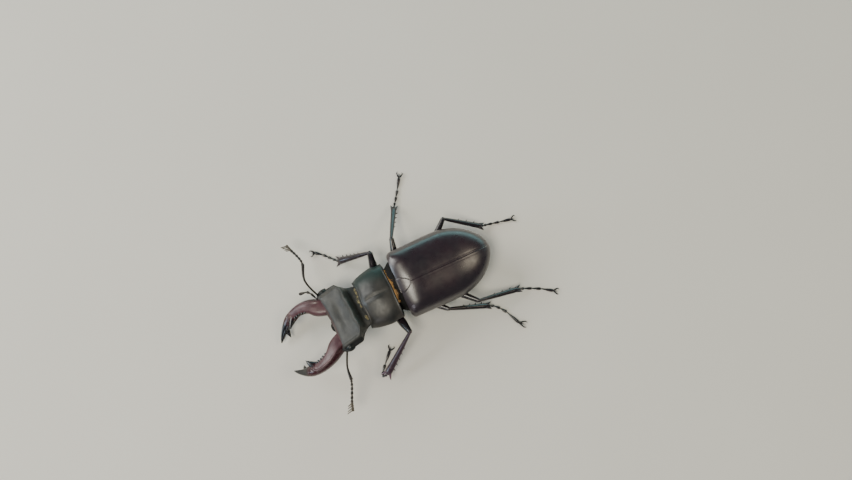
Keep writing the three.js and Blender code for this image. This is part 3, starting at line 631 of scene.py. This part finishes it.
def make_elytron(name, side):
    along, across = np.meshgrid(np.linspace(0, 1, 320), np.linspace(0, 1, 130) ** 1.6, indexing="ij")
    outer = elytron_surface(side, along, across)
    slope = np.cross(np.gradient(outer, axis=0), np.gradient(outer, axis=1))
    inward = -unit(slope) * side
    inward *= np.where(inward[..., 2:3].mean() > 0, -1, 1)
    inner = outer + inward * ELYTRA["thickness"]
    middle = outer + inward * ELYTRA["thickness"] * 0.5
    middle[:, -1] += (outer[:, -1] - outer[:, -2]) * 0.3
    section = np.concatenate([outer, middle[:, -1:], inner[:, ::-8], middle[:, :1]], 1)
    mesh = tube(pose_body(section))
    shade = np.concatenate([smooth(0.93, 1, across), np.ones_like(section[:, across.shape[1] :, 0])], 1)
    piece(f"wing_case_{name}", mesh, ELYTRA_SHELL, "elytra_shell", [f"elytron_{name}"], shade.ravel())


def make_scutellum():
    t = np.linspace(0, 1, 60)
    y = mix(SCUTELLUM["front"], SCUTELLUM["tip"] - 0.02, t)
    half = np.maximum(scutellum_half_width(y) - 0.005, 0.04)
    top = elytra_crest((y - ELYTRA["base"]) / (ELYTRA["tip"] - ELYTRA["base"])) - elytra_drop(y) - 0.03
    middle = top - SCUTELLUM["depth"] / 2
    grid = body_ring(ring_places(48), straight(y), half, top, middle, middle - 0.5, box_top=7)
    rim = smooth(0.8, 1, np.abs(grid[..., 0]) / half[:, None])
    piece("scutellum_plate", tube(pose_body(grid)), ELYTRA_SHELL, "elytra_shell", ["scutellum"], rim.ravel())


# ---- prothorax


def pronotum_front(q):
    return -9.5 + 0.3 * np.sin(math.pi * q) ** 2 - 0.2 * q**6


def pronotum_rear(q):
    return -0.75 - 0.15 * np.sin(math.pi * q) ** 2 - 0.45 * q**4


def pronotum_surface(v, around):
    """Straight-beetle points: v from the front to the rear, around from the left side over the top."""
    half, top, middle, bottom = np.moveaxis(along_rows(PRONOTUM_ROWS, v), -1, 0)
    along = v[..., None]

    def y_at(q):
        return mix(pronotum_front(q), pronotum_rear(q), along)

    grid = body_ring(around, y_at, half, top, middle, bottom, 2.1, 2.6, 0.25)
    x, y, z = np.moveaxis(grid, -1, 0)
    q = np.abs(x) / half[..., None]
    groove = 0.16 * bump(x, 0, 0.35) * smooth(0.1, 0.3, along) * (1 - smooth(0.75, 0.95, along))
    shoulders = 0.1 * bump(np.abs(x), 1.1, 0.6) * bump(along, 0.45, 0.25)
    dents = 0.07 * bump(np.abs(x), 4.6, 1.3) * bump(along, 0.55, 0.18)
    beads = 0.1 * bump(along, 0.015, 0.02) + 0.05 * bump(along, 0.985, 0.02)
    rims = beads - 0.06 * (bump(along, 0.06, 0.025) + bump(along, 0.94, 0.025))
    edge = 0.12 * bump(q, 1, 0.03)
    z = z + topness(around) * (rims + shoulders - groove - dents)
    x = x * (1 + edge / 7)
    return np.stack([x, y, z], -1)


def make_pronotum():
    v = np.linspace(0, 1, 150)
    grid = pronotum_surface(v, ring_places(240))
    scale, inset = 0.9, 0.25
    first, last = closing_ring(grid[:1], scale, inset), closing_ring(grid[-1:], scale, -inset)
    section = np.concatenate([first, grid, last])
    ends = np.concatenate([[0], v, [1]])
    rims = (bump(ends, 0, 0.03) + bump(ends, 1, 0.03))[:, None]
    # Negative shade towards the right side lays the teal tone there: a painted reflection of the sky.
    shade = rims - (1 - rims) * smooth(-1.5, -6, section[..., 0])
    mesh = tube(pose_pronotum(section))
    piece("pronotum_plate", mesh, PRONOTUM_SHELL, "pronotum_shell", ["pronotum"], shade.ravel())


def make_prosternum():
    y, half, top, bottom = along_rows(PROSTERNUM_ROWS, np.linspace(0, 1, 60)).T
    grid = body_ring(ring_places(120), straight(y), half, top, mix(top, bottom, 0.3), bottom, box_top=6)
    keel = 0.3 * bump(grid[..., 0], 0, 0.5) * smooth(-7.5, -5.5, y)[:, None]
    grid[..., 2] -= keel * (grid[..., 2] < top[:, None] - 0.8)
    piece("prosternum_plate", tube(pose_pronotum(grid)), BELLY_SHELL, "belly_shell", ["prosternum"])


# ---- head


def crest_line(wide):
    """Where the ridge across the back of the head runs: two lobes, and a notch on each side of the middle."""
    return -11.85 - 0.9 * (wide / HEAD_EDGE) ** 3 + 0.42 * bump(wide, 5.2, 1.1) - 0.22 * bump(wide, 2.9, 0.8)


def front_bow(wide):
    """How far the head's front edge runs ahead of its middle, towards the sides."""
    return FRONT_BOW * (wide / HEAD_EDGE) ** 3


def head_surface(t, around):
    y, forward, half, top, middle, bottom = np.moveaxis(along_rows(HEAD_ROWS, t), -1, 0)

    def y_at(q):
        return y[..., None] + forward[..., None] * q**3

    grid = body_ring(around, y_at, half, top, middle, bottom, 4.0, 2.4, 0.3)
    x, yy, z = np.moveaxis(grid, -1, 0)
    wide = np.abs(x)
    behind = yy - crest_line(wide)
    height = 0.14 + 0.36 * bump(wide, 5.3, 1.4) + 0.12 * bump(wide, 1.2, 1.1)
    crest = bump(behind, -0.1, 0.42) * height * (wide < 8.7)
    nape = -0.85 * smooth(0.1, 0.9, behind) * (wide < 7.5)
    side_ridge = 0.42 * bump(wide, 7.3, 0.42) * smooth(-11.4, -12.8, yy) * smooth(-18.4, -17.2, yy)
    flank = -0.5 * smooth(7.5, 8.3, wide)
    hollow = -0.55 * bump(x, 0, 4.6) * bump(yy, -14.6, 1.8)
    knobs = 0.07 * bump(wide, 2.4, 1.0) * bump(yy, -15.6, 1.0)
    front_lip = 0.14 * bump(yy, -17.6 - front_bow(wide), 0.25)
    z = z + topness(around) * (crest + nape + side_ridge + flank + hollow + knobs + front_lip)
    return np.stack([x, yy, z], -1)


def make_head():
    grid = head_surface(np.linspace(0, 1, 260), ring_places(320))
    grid = np.concatenate([closing_ring(grid[:1], 0.93, -0.18), grid])
    x, y, z = np.moveaxis(grid, -1, 0)
    # Painted shade: the underside, the nape behind the crest (more of it towards the right) and the flanks
    # outside the side ridges take the dark tone.
    below = smooth(9.4, 8.6, z + 1.1 * smooth(-11.9, -11.2, y))
    behind = smooth(0.1, 0.55, y - crest_line(np.abs(x)))
    flank = smooth(7.45, 7.85, np.abs(x))
    lip = smooth(-17.2, -17.9, y + front_bow(np.abs(x))) * smooth(8.8, 9.4, z)
    dark = np.maximum(np.maximum(below, behind * mix(0.05, 0.4, smooth(-1, -5, x))), flank)
    parts = [tube(pose_head(grid))]
    shade = [(dark * (1 - lip) - 0.7 * lip).ravel(), [0.5, 0.5]]
    for side in SIDES.values():
        bar = tube(rings_along(rounded_ends(mirrored(EYE_BAR, side)), 30, 20, pose=pose_head))
        parts.append(bar)
        # The bars across the eyes are painted dark as well: painted shade.
        shade.append(np.full(len(bar[0]), 0.8))
    mesh = joined(*parts)
    piece("head_plate", mesh, HEAD_SHELL, "head_shell", ["head"], np.concatenate(shade))


def make_eyes():
    x, y, z = EYE["centre"]
    for name, side in SIDES.items():
        mesh = ball((side * x, y, z), EYE["radii"], pose_head, 60, 80, 0.04)
        piece(f"eye_ball_{name}", mesh, EYE_GLOSS, "eye", [f"eye_{name}"])


def make_mouth():
    for name, rows, slot, material in (
        ("labrum", LABRUM_ROWS, "head_shell", MANDIBLE_HORN),
        ("mentum", MENTUM_ROWS, "belly_shell", BELLY_SHELL),
    ):
        mesh = tube(rings_along(rounded_ends(rows), 50, 60, square=2.8, pose=pose_head))
        piece(f"{name}_plate", mesh, material, slot, [name], np.full(len(mesh[0]), 0.7))


def make_mandible(name, side):
    """A jaw: flat above, with a sharp outer keel that turns in and runs out along the inner tooth."""

    def inward(angle):
        """The angle round the section from the inner side (0) over the top to the outer side (pi)."""
        return np.mod(angle if side > 0 else math.pi - angle, TURN)

    def keel_angle(t):
        return mix(2.0, 0.55, smooth(0.46, 0.6, t))

    def keel(t, angle):
        a = inward(angle)
        ridge = 0.16 * bump(a, keel_angle(t), 0.16) * smooth(0.02, 0.12, t) * (1 - smooth(0.6, 0.68, t))
        hollow = 0.09 * bump(a, keel_angle(t) - 0.75, 0.45) + 0.07 * bump(a, keel_angle(t) + 0.45, 0.25)
        tip_groove = 0.16 * bump(a, 1.35, 0.4) * smooth(0.64, 0.74, t) * (1 - smooth(0.92, 1, t))
        return 1 + ridge - hollow * (1 - smooth(0.55, 0.68, t)) - tip_groove

    rings, sides = 240, 96
    arm = rings_along(mirrored(MANDIBLE_ROWS, side), rings, sides, square=2.5, pose=pose_head, ribs=keel)
    t = np.linspace(0, 1, rings)[:, None]
    a = inward(TURN * (np.arange(sides) + 0.5) / sides)[None, :]
    # Painted shade: below the keel, the outer side and the underside take a darker maroon than the top.
    outer_side = 0.5 * smooth(-0.05, 0.2, a - keel_angle(t))
    inner_side = 0.6 * (bump(a, 0, 0.4) + bump(a, TURN, 0.4)) * smooth(0.1, 0.25, t)
    tip = smooth(0.52, 0.68, t) + 0 * a
    parts = [tube(arm)]
    shade = [np.maximum(np.maximum(outer_side, inner_side), tip).ravel(), [0, 1]]
    for rows, first, last in ((INNER_TOOTH, -0.1, 0.5), (FORK_PRONG, -0.6, 0.1)):
        parts.append(tube(rings_along(mirrored(rows, side), 50, 40, pose=pose_head)))
        shade += [np.repeat(smooth(first, last, np.linspace(0, 1, 50)), 40), [0, 1]]
    for at, reach in DENTICLES:
        x, y, z, half, high = along_rows(MANDIBLE_ROWS, at)
        z += 0.45 * high
        rows = [
            (x - 0.5 * half, y, z - 0.1, 0.42, 0.34),
            (x - 0.9 * half, y, z + 0.02, 0.36, 0.3),
            (x - half - 0.6 * reach, y - 0.05, z + 0.1, 0.22, 0.2),
            (x - half - reach, y - 0.08, z + 0.13, 0.06, 0.06),
        ]
        knob = tube(rings_along(mirrored(rows, side), 18, 18, pose=pose_head))
        parts.append(knob)
        shade.append(np.ones(len(knob[0])))
    mesh, shade = joined(*parts), np.concatenate(shade)
    piece(f"jaw_{name}", mesh, MANDIBLE_HORN, "mandible_horn", [f"mandible_{name}"], shade)


# ---- feelers


def bead(start, end, thin, thick, rings=14, sides=18, pose=as_drawn):
    """A pear-shaped joint between two points, thick near its end."""
    start, end = np.asarray(start, float), np.asarray(end, float)
    profile = [(0, 0.25), (0.06, 0.75), (0.3, 0.9), (0.6, 1.0), (0.86, 1.0), (0.96, 0.8), (1.0, 0.3)]
    rows = []
    for t, k in profile:
        radius = mix(thin, thick, smooth(0, 0.8, np.float64(t))) * k
        rows.append((*mix(start, end, t), radius, radius))
    return tube(rings_along(rows, rings, sides, pose=pose))


def make_antenna(name, side):
    feeler = ANTENNAE[name]
    path = [pose_head(np.array(mirrored([FEELER_ROOT], side)[0])), *feeler["scape"]]
    rows = [(*p, r, r) for p, r in zip(path, (0.24, 0.25, 0.4))]
    scape = tube(rings_along(rounded_ends(rows), 60, 20))
    piece(f"feeler_scape_{name}", scape, FEELER, "feeler", [f"antenna_scape_{name}"])
    whip = spans(feeler["whip"], np.linspace(0, 1, 7))
    beads = [bead(a, b, 0.2, 0.32 + 0.01 * i) for i, (a, b) in enumerate(whip)]
    piece(f"feeler_whip_{name}", joined(*beads), FEELER, "feeler", [f"antenna_funicle_{name}"])
    club = spans([feeler["whip"][-1], feeler["club"]], np.linspace(0, 1, 5))
    stem = [bead(a, b, 0.24, 0.36) for a, b in club]
    leaves = []
    for i, (start, end) in enumerate(club):
        root = mix(start, end, 0.6)
        tip = root + (side * 0.3, -1.2 - 0.12 * i, -0.15)
        profile = ((0, 0.14, 0.2), (0.4, 0.13, 0.34), (0.8, 0.12, 0.36), (0.95, 0.1, 0.24), (1, 0.04, 0.08))
        leaves.append(tube(rings_along(limb_rows(root, tip, profile), 20, 18)))
    mesh = joined(*stem, *leaves)
    shade = np.full(len(mesh[0]), 0.4)
    piece(f"feeler_club_{name}", mesh, FEELER, "feeler", [f"antenna_club_{name}"], shade)


def make_palp(name):
    root, *path = PALPS[name]
    joints = spans([pose_head(np.array(root)), *path], (0, 0.28, 0.5, 0.74, 1.0))
    beads = [bead(a, b, 0.18, r) for (a, b), r in zip(joints, (0.3, 0.32, 0.34, 0.4))]
    piece(f"palp_joints_{name}", joined(*beads), FEELER, "feeler", [f"palp_{name}"])


# ---- underside


def make_trunk():
    rows = along_rows(TRUNK_ROWS, np.linspace(0, 1, 260))
    mean_middle = rows[:, 3].mean()
    for name, node, mask in (
        ("chest_plate", "pterothorax", rows[:, 0] < WAIST),
        ("belly_rings", "abdomen", rows[:, 0] > WAIST),
    ):
        y, half, top, middle, bottom = rows[mask].T
        grid = body_ring(ring_places(160), straight(y), half, top, middle, bottom, box_bottom=2.0)
        x, yy, z = np.moveaxis(grid, -1, 0)
        under = smooth(0, 1.2, middle[:, None] - z)
        if node == "abdomen":
            step = (yy - WAIST) / (TRUNK_ROWS[-1][0] - WAIST) * BELLY_RINGS
            relief = 0.3 * (step - np.floor(step)) ** 3
        else:
            relief = -0.18 * bump(x, 0, 0.25) * smooth(3, 5, yy)
            relief = relief - 0.2 * bump(yy, 6.0, 0.3) * smooth(3.5, 5, np.abs(x))
        grid[..., 2] -= under * relief
        # Painted shade: the chest's top at the waist, between the pronotum and the wing cases, goes near
        # black.
        shade = smooth(mean_middle, mean_middle + 1, z) * smooth(4, 2, yy)
        piece(name, tube(pose_body(grid)), BELLY_SHELL, "belly_shell", [node], shade.ravel())


# ---- legs


def pose_of(leg):
    return pose_pronotum if leg.startswith("fore") else pose_body


def joint(leg, name):
    """A leg's joint in the pose. Only the hip is given for a straight beetle."""
    place = np.array(LEGS[leg][name])
    return pose_of(leg)(place) if name == "hip" else place


def foot_path(leg):
    """The foot's knots from the ankle to its last joint, and the place the claws point to."""
    toes = [(x, y, TOE_HEIGHT) for x, y in LEGS[leg]["toes"]]
    return [LEGS[leg]["ankle"], *LEGS[leg]["foot"], *toes[:-1]], np.array(toes[-1])


def heading_and_side(start, end):
    """The direction from one point to another, and the level direction across it."""
    forward = unit(end - start)
    return forward, unit(np.cross(forward, (0, 0, 1)))


def thorn(start, end, root, bend=(0, 0, 0)):
    """A curved spike from root radius to a point."""
    start, end = np.asarray(start, float), np.asarray(end, float)
    middle = mix(start, end, 0.55) + bend
    rows = [(*start, root, root), (*middle, root * 0.6, root * 0.6), (*end, root * 0.08, root * 0.08)]
    return tube(rings_along(rows, 8, 10))


def make_thigh(leg, build):
    root, belly, end = build["thigh"]
    sections = (
        (-0.02, root * 0.8, root * 0.7),
        (0.12, root * 0.75, root * 0.68),
        (0.3, belly * 0.95, belly * 0.88),
        (0.6, belly, belly * 0.95),
        (0.85, end, end),
        (0.98, end * 0.85, end * 0.95),
    )

    def ribs(t, angle):
        return 1 + 0.03 * np.cos(3 * angle) - 0.12 * bump(t, 0.95, 0.02)

    rows = limb_rows(joint(leg, "hip"), joint(leg, "knee"), sections)
    thigh = tube(rings_along(rounded_ends(rows), 90, 40, ribs=ribs))
    piece(f"thigh_{leg}", thigh, LEG_SHELL, "leg_shell", [f"femur_{leg}"])


def make_shin(leg, build):
    knee, ankle = joint(leg, "knee"), joint(leg, "ankle")
    thin, middle, wide = build["shin"]
    forward, sideways = heading_and_side(knee, ankle)
    outward = -1 if sideways[1] < 0 else 1
    sections = (
        (-0.02, thin * 0.8, thin * 0.85),
        (0.06, thin * 0.85, thin * 0.85),
        (0.35, middle, middle * 0.85),
        (0.7, mix(middle, wide, 0.5), middle * 0.82),
        (0.93, wide, wide * SHIN_FLATNESS),
        (1.0, wide * 0.85, wide * SHIN_FLATNESS * 0.8),
    )

    def ribs(t, angle):
        return 1 + 0.05 * np.cos(4 * angle) * smooth(0.1, 0.3, t)

    shin = tube(rings_along(rounded_ends(limb_rows(knee, ankle, sections)), 120, 40, ribs=ribs))
    parts = [shin, ball(knee, (thin, thin, thin * 1.05))]
    for i in range(build["spines"]):
        t = mix(0.28, 0.9, (i + 0.5) / build["spines"])
        start = mix(knee, ankle, t) + sideways * outward * middle * 0.6
        reach = 0.55 + 0.12 * i
        parts.append(thorn(start, start + sideways * outward * reach + forward * 0.45, 0.2 + 0.02 * i))
    spread = 1.05 if leg.startswith("fore") else 0.65
    shaft = len(parts)
    for sign, reach in ((outward, spread), (-outward, spread * 0.9)):
        start = ankle + sideways * sign * wide * 0.55 - forward * 0.4
        parts.append(thorn(start, start + sideways * sign * reach + forward * 1.6, 0.4, forward * 0.15))
    lower = ankle - sideways * outward * 0.2 - (0, 0, 0.25)
    parts.append(thorn(lower, lower + forward * 1.1 + sideways * 0.25, 0.18))
    parts.append(thorn(lower, lower + forward * 0.9 - sideways * 0.3, 0.16))
    # The fore shins' larger share of brown, more on the left, is painted light; the spurs take three times
    # the share.
    brown_and_painted_light = SHIN_BROWN_AND_PAINTED_LIGHT.get(leg, OTHER_SHIN_BROWN)
    shade = [np.full(len(part[0]), brown_and_painted_light if i < shaft else brown_and_painted_light * 3) for i, part in enumerate(parts)]
    piece(f"shin_{leg}", joined(*parts), LEG_SHELL, "leg_shell", [f"tibia_{leg}"], np.concatenate(shade))


def make_foot(leg):
    path, claw = foot_path(leg)
    parts = []
    for (a, b), thick in zip(spans(path, FOOT_JOINTS), (0.34, 0.35, 0.36, 0.38, 0.42)):
        parts.append(bead(a, b, 0.17, thick, rings=20, sides=20, pose=on_ground))
    end = np.array(path[-1])
    heading, sideways = heading_and_side(end, claw)
    for sign in (-1, 1):
        rows = [
            (*end, 0.24, 0.24),
            (*(mix(end, claw, 0.35) + sideways * sign * 0.45 + (0, 0, 0.2)), 0.2, 0.22),
            (*(mix(end, claw, 0.75) + sideways * sign * 0.78 + (0, 0, 0.1)), 0.14, 0.16),
            (*(claw + sideways * sign * 0.62 - (0, 0, 0.2)), 0.05, 0.05),
            (*(claw + heading * 0.1 + sideways * sign * 0.5 - (0, 0, 0.32)), 0.01, 0.01),
        ]
        parts.append(tube(rings_along(rows, 26, 14, pose=on_ground)))
    for sign in (-0.12, 0.12):
        parts.append(thorn(end, claw + sideways * sign - heading * 0.3, 0.07))
    piece(f"foot_{leg}", joined(*parts), LEG_SHELL, "leg_shell", [f"tarsus_{leg}"])


def make_leg(leg):
    pair, side = leg.split("_")
    build, pose = LEG_BUILD[pair], pose_of(leg)
    x, y, z = COXAE[pair]
    coxa = ball((SIDES[side] * x, y, z), COXA_RADII, pose)
    trochanter = ball(np.array(LEGS[leg]["hip"]) + (0, 0, -0.05), (0.8, 0.75, 0.7), pose)
    piece(f"hip_{leg}", joined(coxa, trochanter), LEG_SHELL, "leg_shell", [f"coxa_{leg}"])
    make_thigh(leg, build)
    make_shin(leg, build)
    make_foot(leg)


# ---- hair

HAIRS = {"collar": 1100, "nape": 620, "chest": 5200, "mouth": 500, "thigh": 420, "foot joint": 24}
SHIN_BRISTLES = {"fore": 26, "mid": 60, "hind": 60}
PATCH = 0.003  # how far a tuft reaches on the skin's unwrap


def tufts(name, roots, headings, lengths, width, patches, material, slot, droop=(0, 0, 0), seed=1):
    """Tapered three-sided hairs joined into one mesh. patches is each root's place on the skin's unwrap."""
    chance = np.random.default_rng(seed)
    count = len(roots)
    headings = unit(headings)
    sideways = unit(np.cross(headings, chance.normal(size=(count, 3))))
    over = np.cross(headings, sideways)
    stations = np.array([0, 0.35, 0.7, 1.0])
    widths = np.array([1.0, 0.85, 0.55, 0.08]) * width
    corners = TURN * np.arange(3) / 3
    sag = np.asarray(droop, float)
    lengths = np.asarray(lengths)[:, None, None, None]
    s = stations[None, :, None, None]
    centre = roots[:, None, None] + headings[:, None, None] * lengths * s + sag * lengths * s**2
    ring = (
        sideways[:, None, None] * np.cos(corners)[None, None, :, None]
        + over[:, None, None] * np.sin(corners)[None, None, :, None]
    )
    points = (centre + ring * widths[None, :, None, None]).reshape(-1, 3)
    per_hair = len(stations) * len(corners)
    sides = [(r * 3 + c, r * 3 + (c + 1) % 3) for r in range(3) for c in range(3)]
    template = [[a, b, b + 3, a + 3] for a, b in sides] + [[2, 1, 0], [9, 10, 11]]
    faces = [[k * per_hair + i for i in face] for k in range(count) for face in template]
    patch = np.array([[(r / 3 - 0.5) * PATCH, (c / 2 - 0.5) * PATCH] for r in range(4) for c in range(3)])
    uv = (np.asarray(patches)[:, None] + patch[None]).reshape(-1, 2)
    piece(name, (points, faces), material, slot, uv=np.clip(uv, 0, 1))


def surface_frame(surface, pose, u, v):
    """Posed points, the two directions along the surface, and a normal, whichever way it faces."""
    eps = 0.004

    def at(a, b):
        return pose(np.stack([surface(np.array([x]), np.array([y]))[0, 0] for x, y in zip(a, b)]))

    here = at(u, v)
    along = unit(at(np.clip(u + eps, 0, 1), v) - at(np.clip(u - eps, 0, 1), v))
    across = unit(at(u, v + eps) - at(u, v - eps))
    return here, along, across, unit(np.cross(along, across))


def make_fringes():
    """Golden hair from under the pronotum's rear rim, and broken paler tufts under its front rim."""
    chance = np.random.default_rng(7)
    collar = 0.265 + 0.085 * np.clip(chance.normal(0, 0.55, HAIRS["collar"]), -1.2, 1.2)
    places = (0.125, 0.15, 0.155, 0.24, 0.262, 0.268, 0.3, 0.325, 0.33, 0.365)
    nape = chance.choice(places, HAIRS["nape"]) + chance.normal(0, 0.0045, HAIRS["nape"])
    for name, v_root, sign, around, length, width, material in (
        ("hair_collar", 0.985, 1, collar, 1.0, 0.024, GOLDEN_HAIR),
        ("hair_nape", 0.02, -1, nape, 0.85, 0.014, PALE_HAIR),
    ):
        count = len(around)
        v = np.full(count, v_root) + chance.uniform(-0.012, 0.012, count)
        here, along, across, normal = surface_frame(pronotum_surface, pose_pronotum, v, around)
        normal = np.where((normal[:, 2:3] < 0), -normal, normal)
        roots = here - normal * 0.2
        lean = normal * chance.uniform(-0.3, 0.1, (count, 1)) + across * chance.normal(0, 0.35, (count, 1))
        lengths = length * chance.uniform(0.6, 1.2, count) * (0.85 + 0.25 * np.sin(around * 95))
        patches, headings, sag = np.stack([v, around], 1), along * sign + lean, (0, 0, -0.15)
        tufts(name, roots, headings, lengths, width, patches, material, "pronotum_shell", sag, 3)


def make_chest_hair():
    """Short golden hair lying back over the chest's underside."""
    chance = np.random.default_rng(11)
    count = HAIRS["chest"]
    t = chance.uniform(0.02, 0.5, count)
    around = 0.75 + chance.uniform(-0.19, 0.19, count)
    y, half, top, middle, bottom = along_rows(TRUNK_ROWS, t).T
    angle = around * TURN
    x = np.cos(angle) * half
    z = middle + (bottom - middle) * np.abs(np.sin(angle))
    roots = pose_body(np.stack([x, y, z], -1))
    outward = unit(pose_body(np.stack([x, y, z - 1], -1)) - roots)
    heading = np.array([0, 1, 0]) + outward * 0.22 + chance.normal(0, 0.16, (count, 3))
    lengths = chance.uniform(0.4, 0.8, count)
    patches = np.stack([t, around], 1)
    tufts("hair_chest", roots, heading, lengths, 0.018, patches, GOLDEN_HAIR, "belly_shell")


def make_mouth_brush():
    """The golden brush of the inner mouthparts, below the upper lip."""
    chance = np.random.default_rng(21)
    count = HAIRS["mouth"]
    across = chance.uniform(-1, 1, count)
    y, z = -17.4 + chance.uniform(-0.2, 0.2, count), chance.uniform(6.9, 7.5, count)
    roots = np.stack([across * 0.9, y, z], -1)
    heading = np.stack([across * 0.3, np.full(count, -1.0), np.full(count, -0.1)], -1)
    heading += chance.normal(0, 0.12, (count, 3))
    turned = pose_head(roots + heading) - pose_head(roots)
    patches = np.stack([0.5 + across * 0.1, chance.uniform(0.02, 0.08, count)], 1)
    lengths = chance.uniform(0.7, 1.15, count)
    tufts("hair_mouth", pose_head(roots), turned, lengths, 0.022, patches, GOLDEN_HAIR, "belly_shell")


def make_thigh_patches():
    """The oval patch of golden hair at the front of each fore thigh's base."""
    chance = np.random.default_rng(31)
    for leg in ("fore_left", "fore_right"):
        hip, knee = joint(leg, "hip"), joint(leg, "knee")
        forward = unit(knee - hip)
        front = unit(np.array([0, -1, 0]) - forward * forward @ (0, -1, 0))
        over = np.cross(forward, front)
        count = HAIRS["thigh"]
        t = chance.uniform(0.14, 0.42, count)
        lean = chance.uniform(-0.7, 0.7, count) * (1 - (np.abs(t - 0.28) / 0.15) ** 2 * 0.6)
        out = front * np.cos(lean)[:, None] + over * np.sin(lean)[:, None]
        roots = mix(hip, knee, t[:, None]) + out * 0.72
        heading = forward + out * 0.3 + chance.normal(0, 0.12, (count, 3))
        patches = np.stack([t, 0.5 + lean / 6], 1)
        lengths = chance.uniform(0.35, 0.55, count)
        tufts(f"hair_thigh_{leg}", roots, heading, lengths, 0.02, patches, GOLDEN_HAIR, "leg_shell")


def make_leg_hair():
    """Bristles along the shins, and brushes under the feet."""
    chance = np.random.default_rng(5)
    for leg in LEGS:
        roots, headings, lengths, patches = [], [], [], []
        knee, ankle = joint(leg, "knee"), joint(leg, "ankle")
        path = foot_path(leg)[0]
        for at in (0.15, 0.31, 0.48, 0.64):
            place = along_rows(path, np.array([at]))[0]
            forward = unit(along_rows(path, np.array([at + 0.05]))[0] - place)
            for _ in range(HAIRS["foot joint"]):
                roots.append(place + chance.normal(0, 0.12, 3) * (1, 1, 0.4) - (0, 0, 0.08))
                headings.append(forward * 0.8 + (0, 0, -0.55) + chance.normal(0, 0.4, 3) * (1, 1, 0.3))
                lengths.append(chance.uniform(0.3, 0.5))
                patches.append((at, 0.25 + chance.uniform(0, 0.5)))
        forward, sideways = heading_and_side(knee, ankle)
        for _ in range(SHIN_BRISTLES[leg.split("_")[0]]):
            t = chance.uniform(0.3, 0.95)
            sign = chance.choice((-1, 1))
            roots.append(mix(knee, ankle, t) + sideways * sign * 0.36 + (0, 0, -0.28))
            headings.append(forward + sideways * sign * 0.35 + (0, 0, -0.2) + chance.normal(0, 0.12, 3))
            lengths.append(chance.uniform(0.22, 0.36))
            patches.append((t, 0.5 + 0.25 * sign))
        roots = np.maximum(np.array(roots), (-1e9, -1e9, 0.06))
        tips = roots[:, 2] + unit(headings)[:, 2] * lengths
        headings = np.array(headings)
        headings[:, 2] = np.where(tips < 0.02, 0, headings[:, 2])
        tufts(f"hair_{leg}", roots, headings, lengths, 0.018, patches, BRISTLE, "leg_shell", seed=9)


# ---- assembly

for side_name, sign in SIDES.items():
    make_elytron(side_name, sign)
    make_mandible(side_name, sign)
    make_antenna(side_name, sign)
    make_palp(side_name)
make_scutellum()
make_pronotum()
make_prosternum()
make_head()
make_eyes()
make_mouth()
make_trunk()
for leg_name in LEGS:
    make_leg(leg_name)
make_fringes()
make_chest_hair()
make_mouth_brush()
make_thigh_patches()
make_leg_hair()

# ---- studio

CAMERA_PLACE = (15.809, -8.797, 159.397)
CAMERA_LOOK = (-0.153, 0.1356, -0.9789)
CAMERA_UP = (-0.892, 0.4073, 0.1959)
IMAGE_WIDTH = 852
FOCAL_PIXELS = 608
SENSOR = 36
CLIP = (0.005, 60)
FLOOR_REACH = 30.0
FLOOR_COLOURS = (0.76, 0.73, 0.67), (0.8, 0.77, 0.71)
WORLD_COLOUR, WORLD_STRENGTH = (0.66, 0.7, 0.78), 0.19
# azimuth from +X towards +Y and elevation in degrees, distance and size in metres, watts, colour
LIGHTS = {
    "sky_side": (142, 8, 0.8, (1.9, 0.36), 4.2, (0.5, 0.94, 0.93)),
    "front_grey": (-132, 29, 0.7, (0.42, 0.34), 2.8, (1.0, 0.99, 0.94)),
    "top_beige": (-72, 64, 0.8, (0.4, 0.3), 3.7, (1.0, 0.95, 0.8)),
    "tan_rear": (70, 48, 0.7, (0.24, 0.24), 0.8, (1.0, 0.88, 0.66)),
    "low_blue": (-102, 18, 0.7, (0.2, 0.3), 1.2, (0.7, 0.86, 1.0)),
    "left_lilac": (-44, 30, 0.7, (0.16, 0.08), 0.32, (0.95, 0.92, 1.0)),
}


def make_camera():
    data = bpy.data.cameras.new("camera")
    data.sensor_width = SENSOR
    data.lens = FOCAL_PIXELS / IMAGE_WIDTH * SENSOR
    data.clip_start, data.clip_end = CLIP
    back = -Vector(CAMERA_LOOK).normalized()
    right = Vector(CAMERA_UP).cross(back).normalized()
    up = back.cross(right)
    turn = Matrix((right, up, back)).transposed().to_4x4()
    camera = placed("camera", data)
    place = (np.array(CAMERA_PLACE) - FOOTPRINT_CENTRE) * MM
    camera.matrix_world = Matrix.Translation(Vector(place)) @ turn
    bpy.context.scene.camera = camera


def make_floor():
    data = bpy.data.meshes.new("floor")
    corners = [(x * FLOOR_REACH, y * FLOOR_REACH, 0) for x, y in ((-1, -1), (1, -1), (1, 1), (-1, 1))]
    data.from_pydata(corners, [], [(0, 1, 2, 3)])
    f = Finish("floor_paper", roughness=0.9, specular=0.2)
    f.colour(f.blend(f.noise(40), *FLOOR_COLOURS))
    data.materials.append(f.material)
    floor = placed("floor", data)


def soft_light(name, azimuth, elevation, distance, size, power, colour):
    """An elliptic light aimed at the beetle."""
    data = bpy.data.lights.new(name, "AREA")
    data.shape = "ELLIPSE"
    data.size, data.size_y = size
    data.energy = power
    data.color = colour
    light = placed(name, data)
    around, rise = math.radians(azimuth), math.radians(elevation)
    direction = Vector((math.cos(rise) * math.cos(around), math.cos(rise) * math.sin(around), math.sin(rise)))
    light.location = direction * distance
    light.rotation_euler = direction.to_track_quat("Z", "Y").to_euler()


def make_lights():
    for name, settings in LIGHTS.items():
        soft_light(name, *settings)
    world = bpy.data.worlds.new("studio")
    world.use_nodes = True
    background = world.node_tree.nodes["Background"]
    background.inputs["Color"].default_value = (*WORLD_COLOUR, 1)
    background.inputs["Strength"].default_value = WORLD_STRENGTH
    bpy.context.scene.world = world


make_camera()
make_floor()
make_lights()
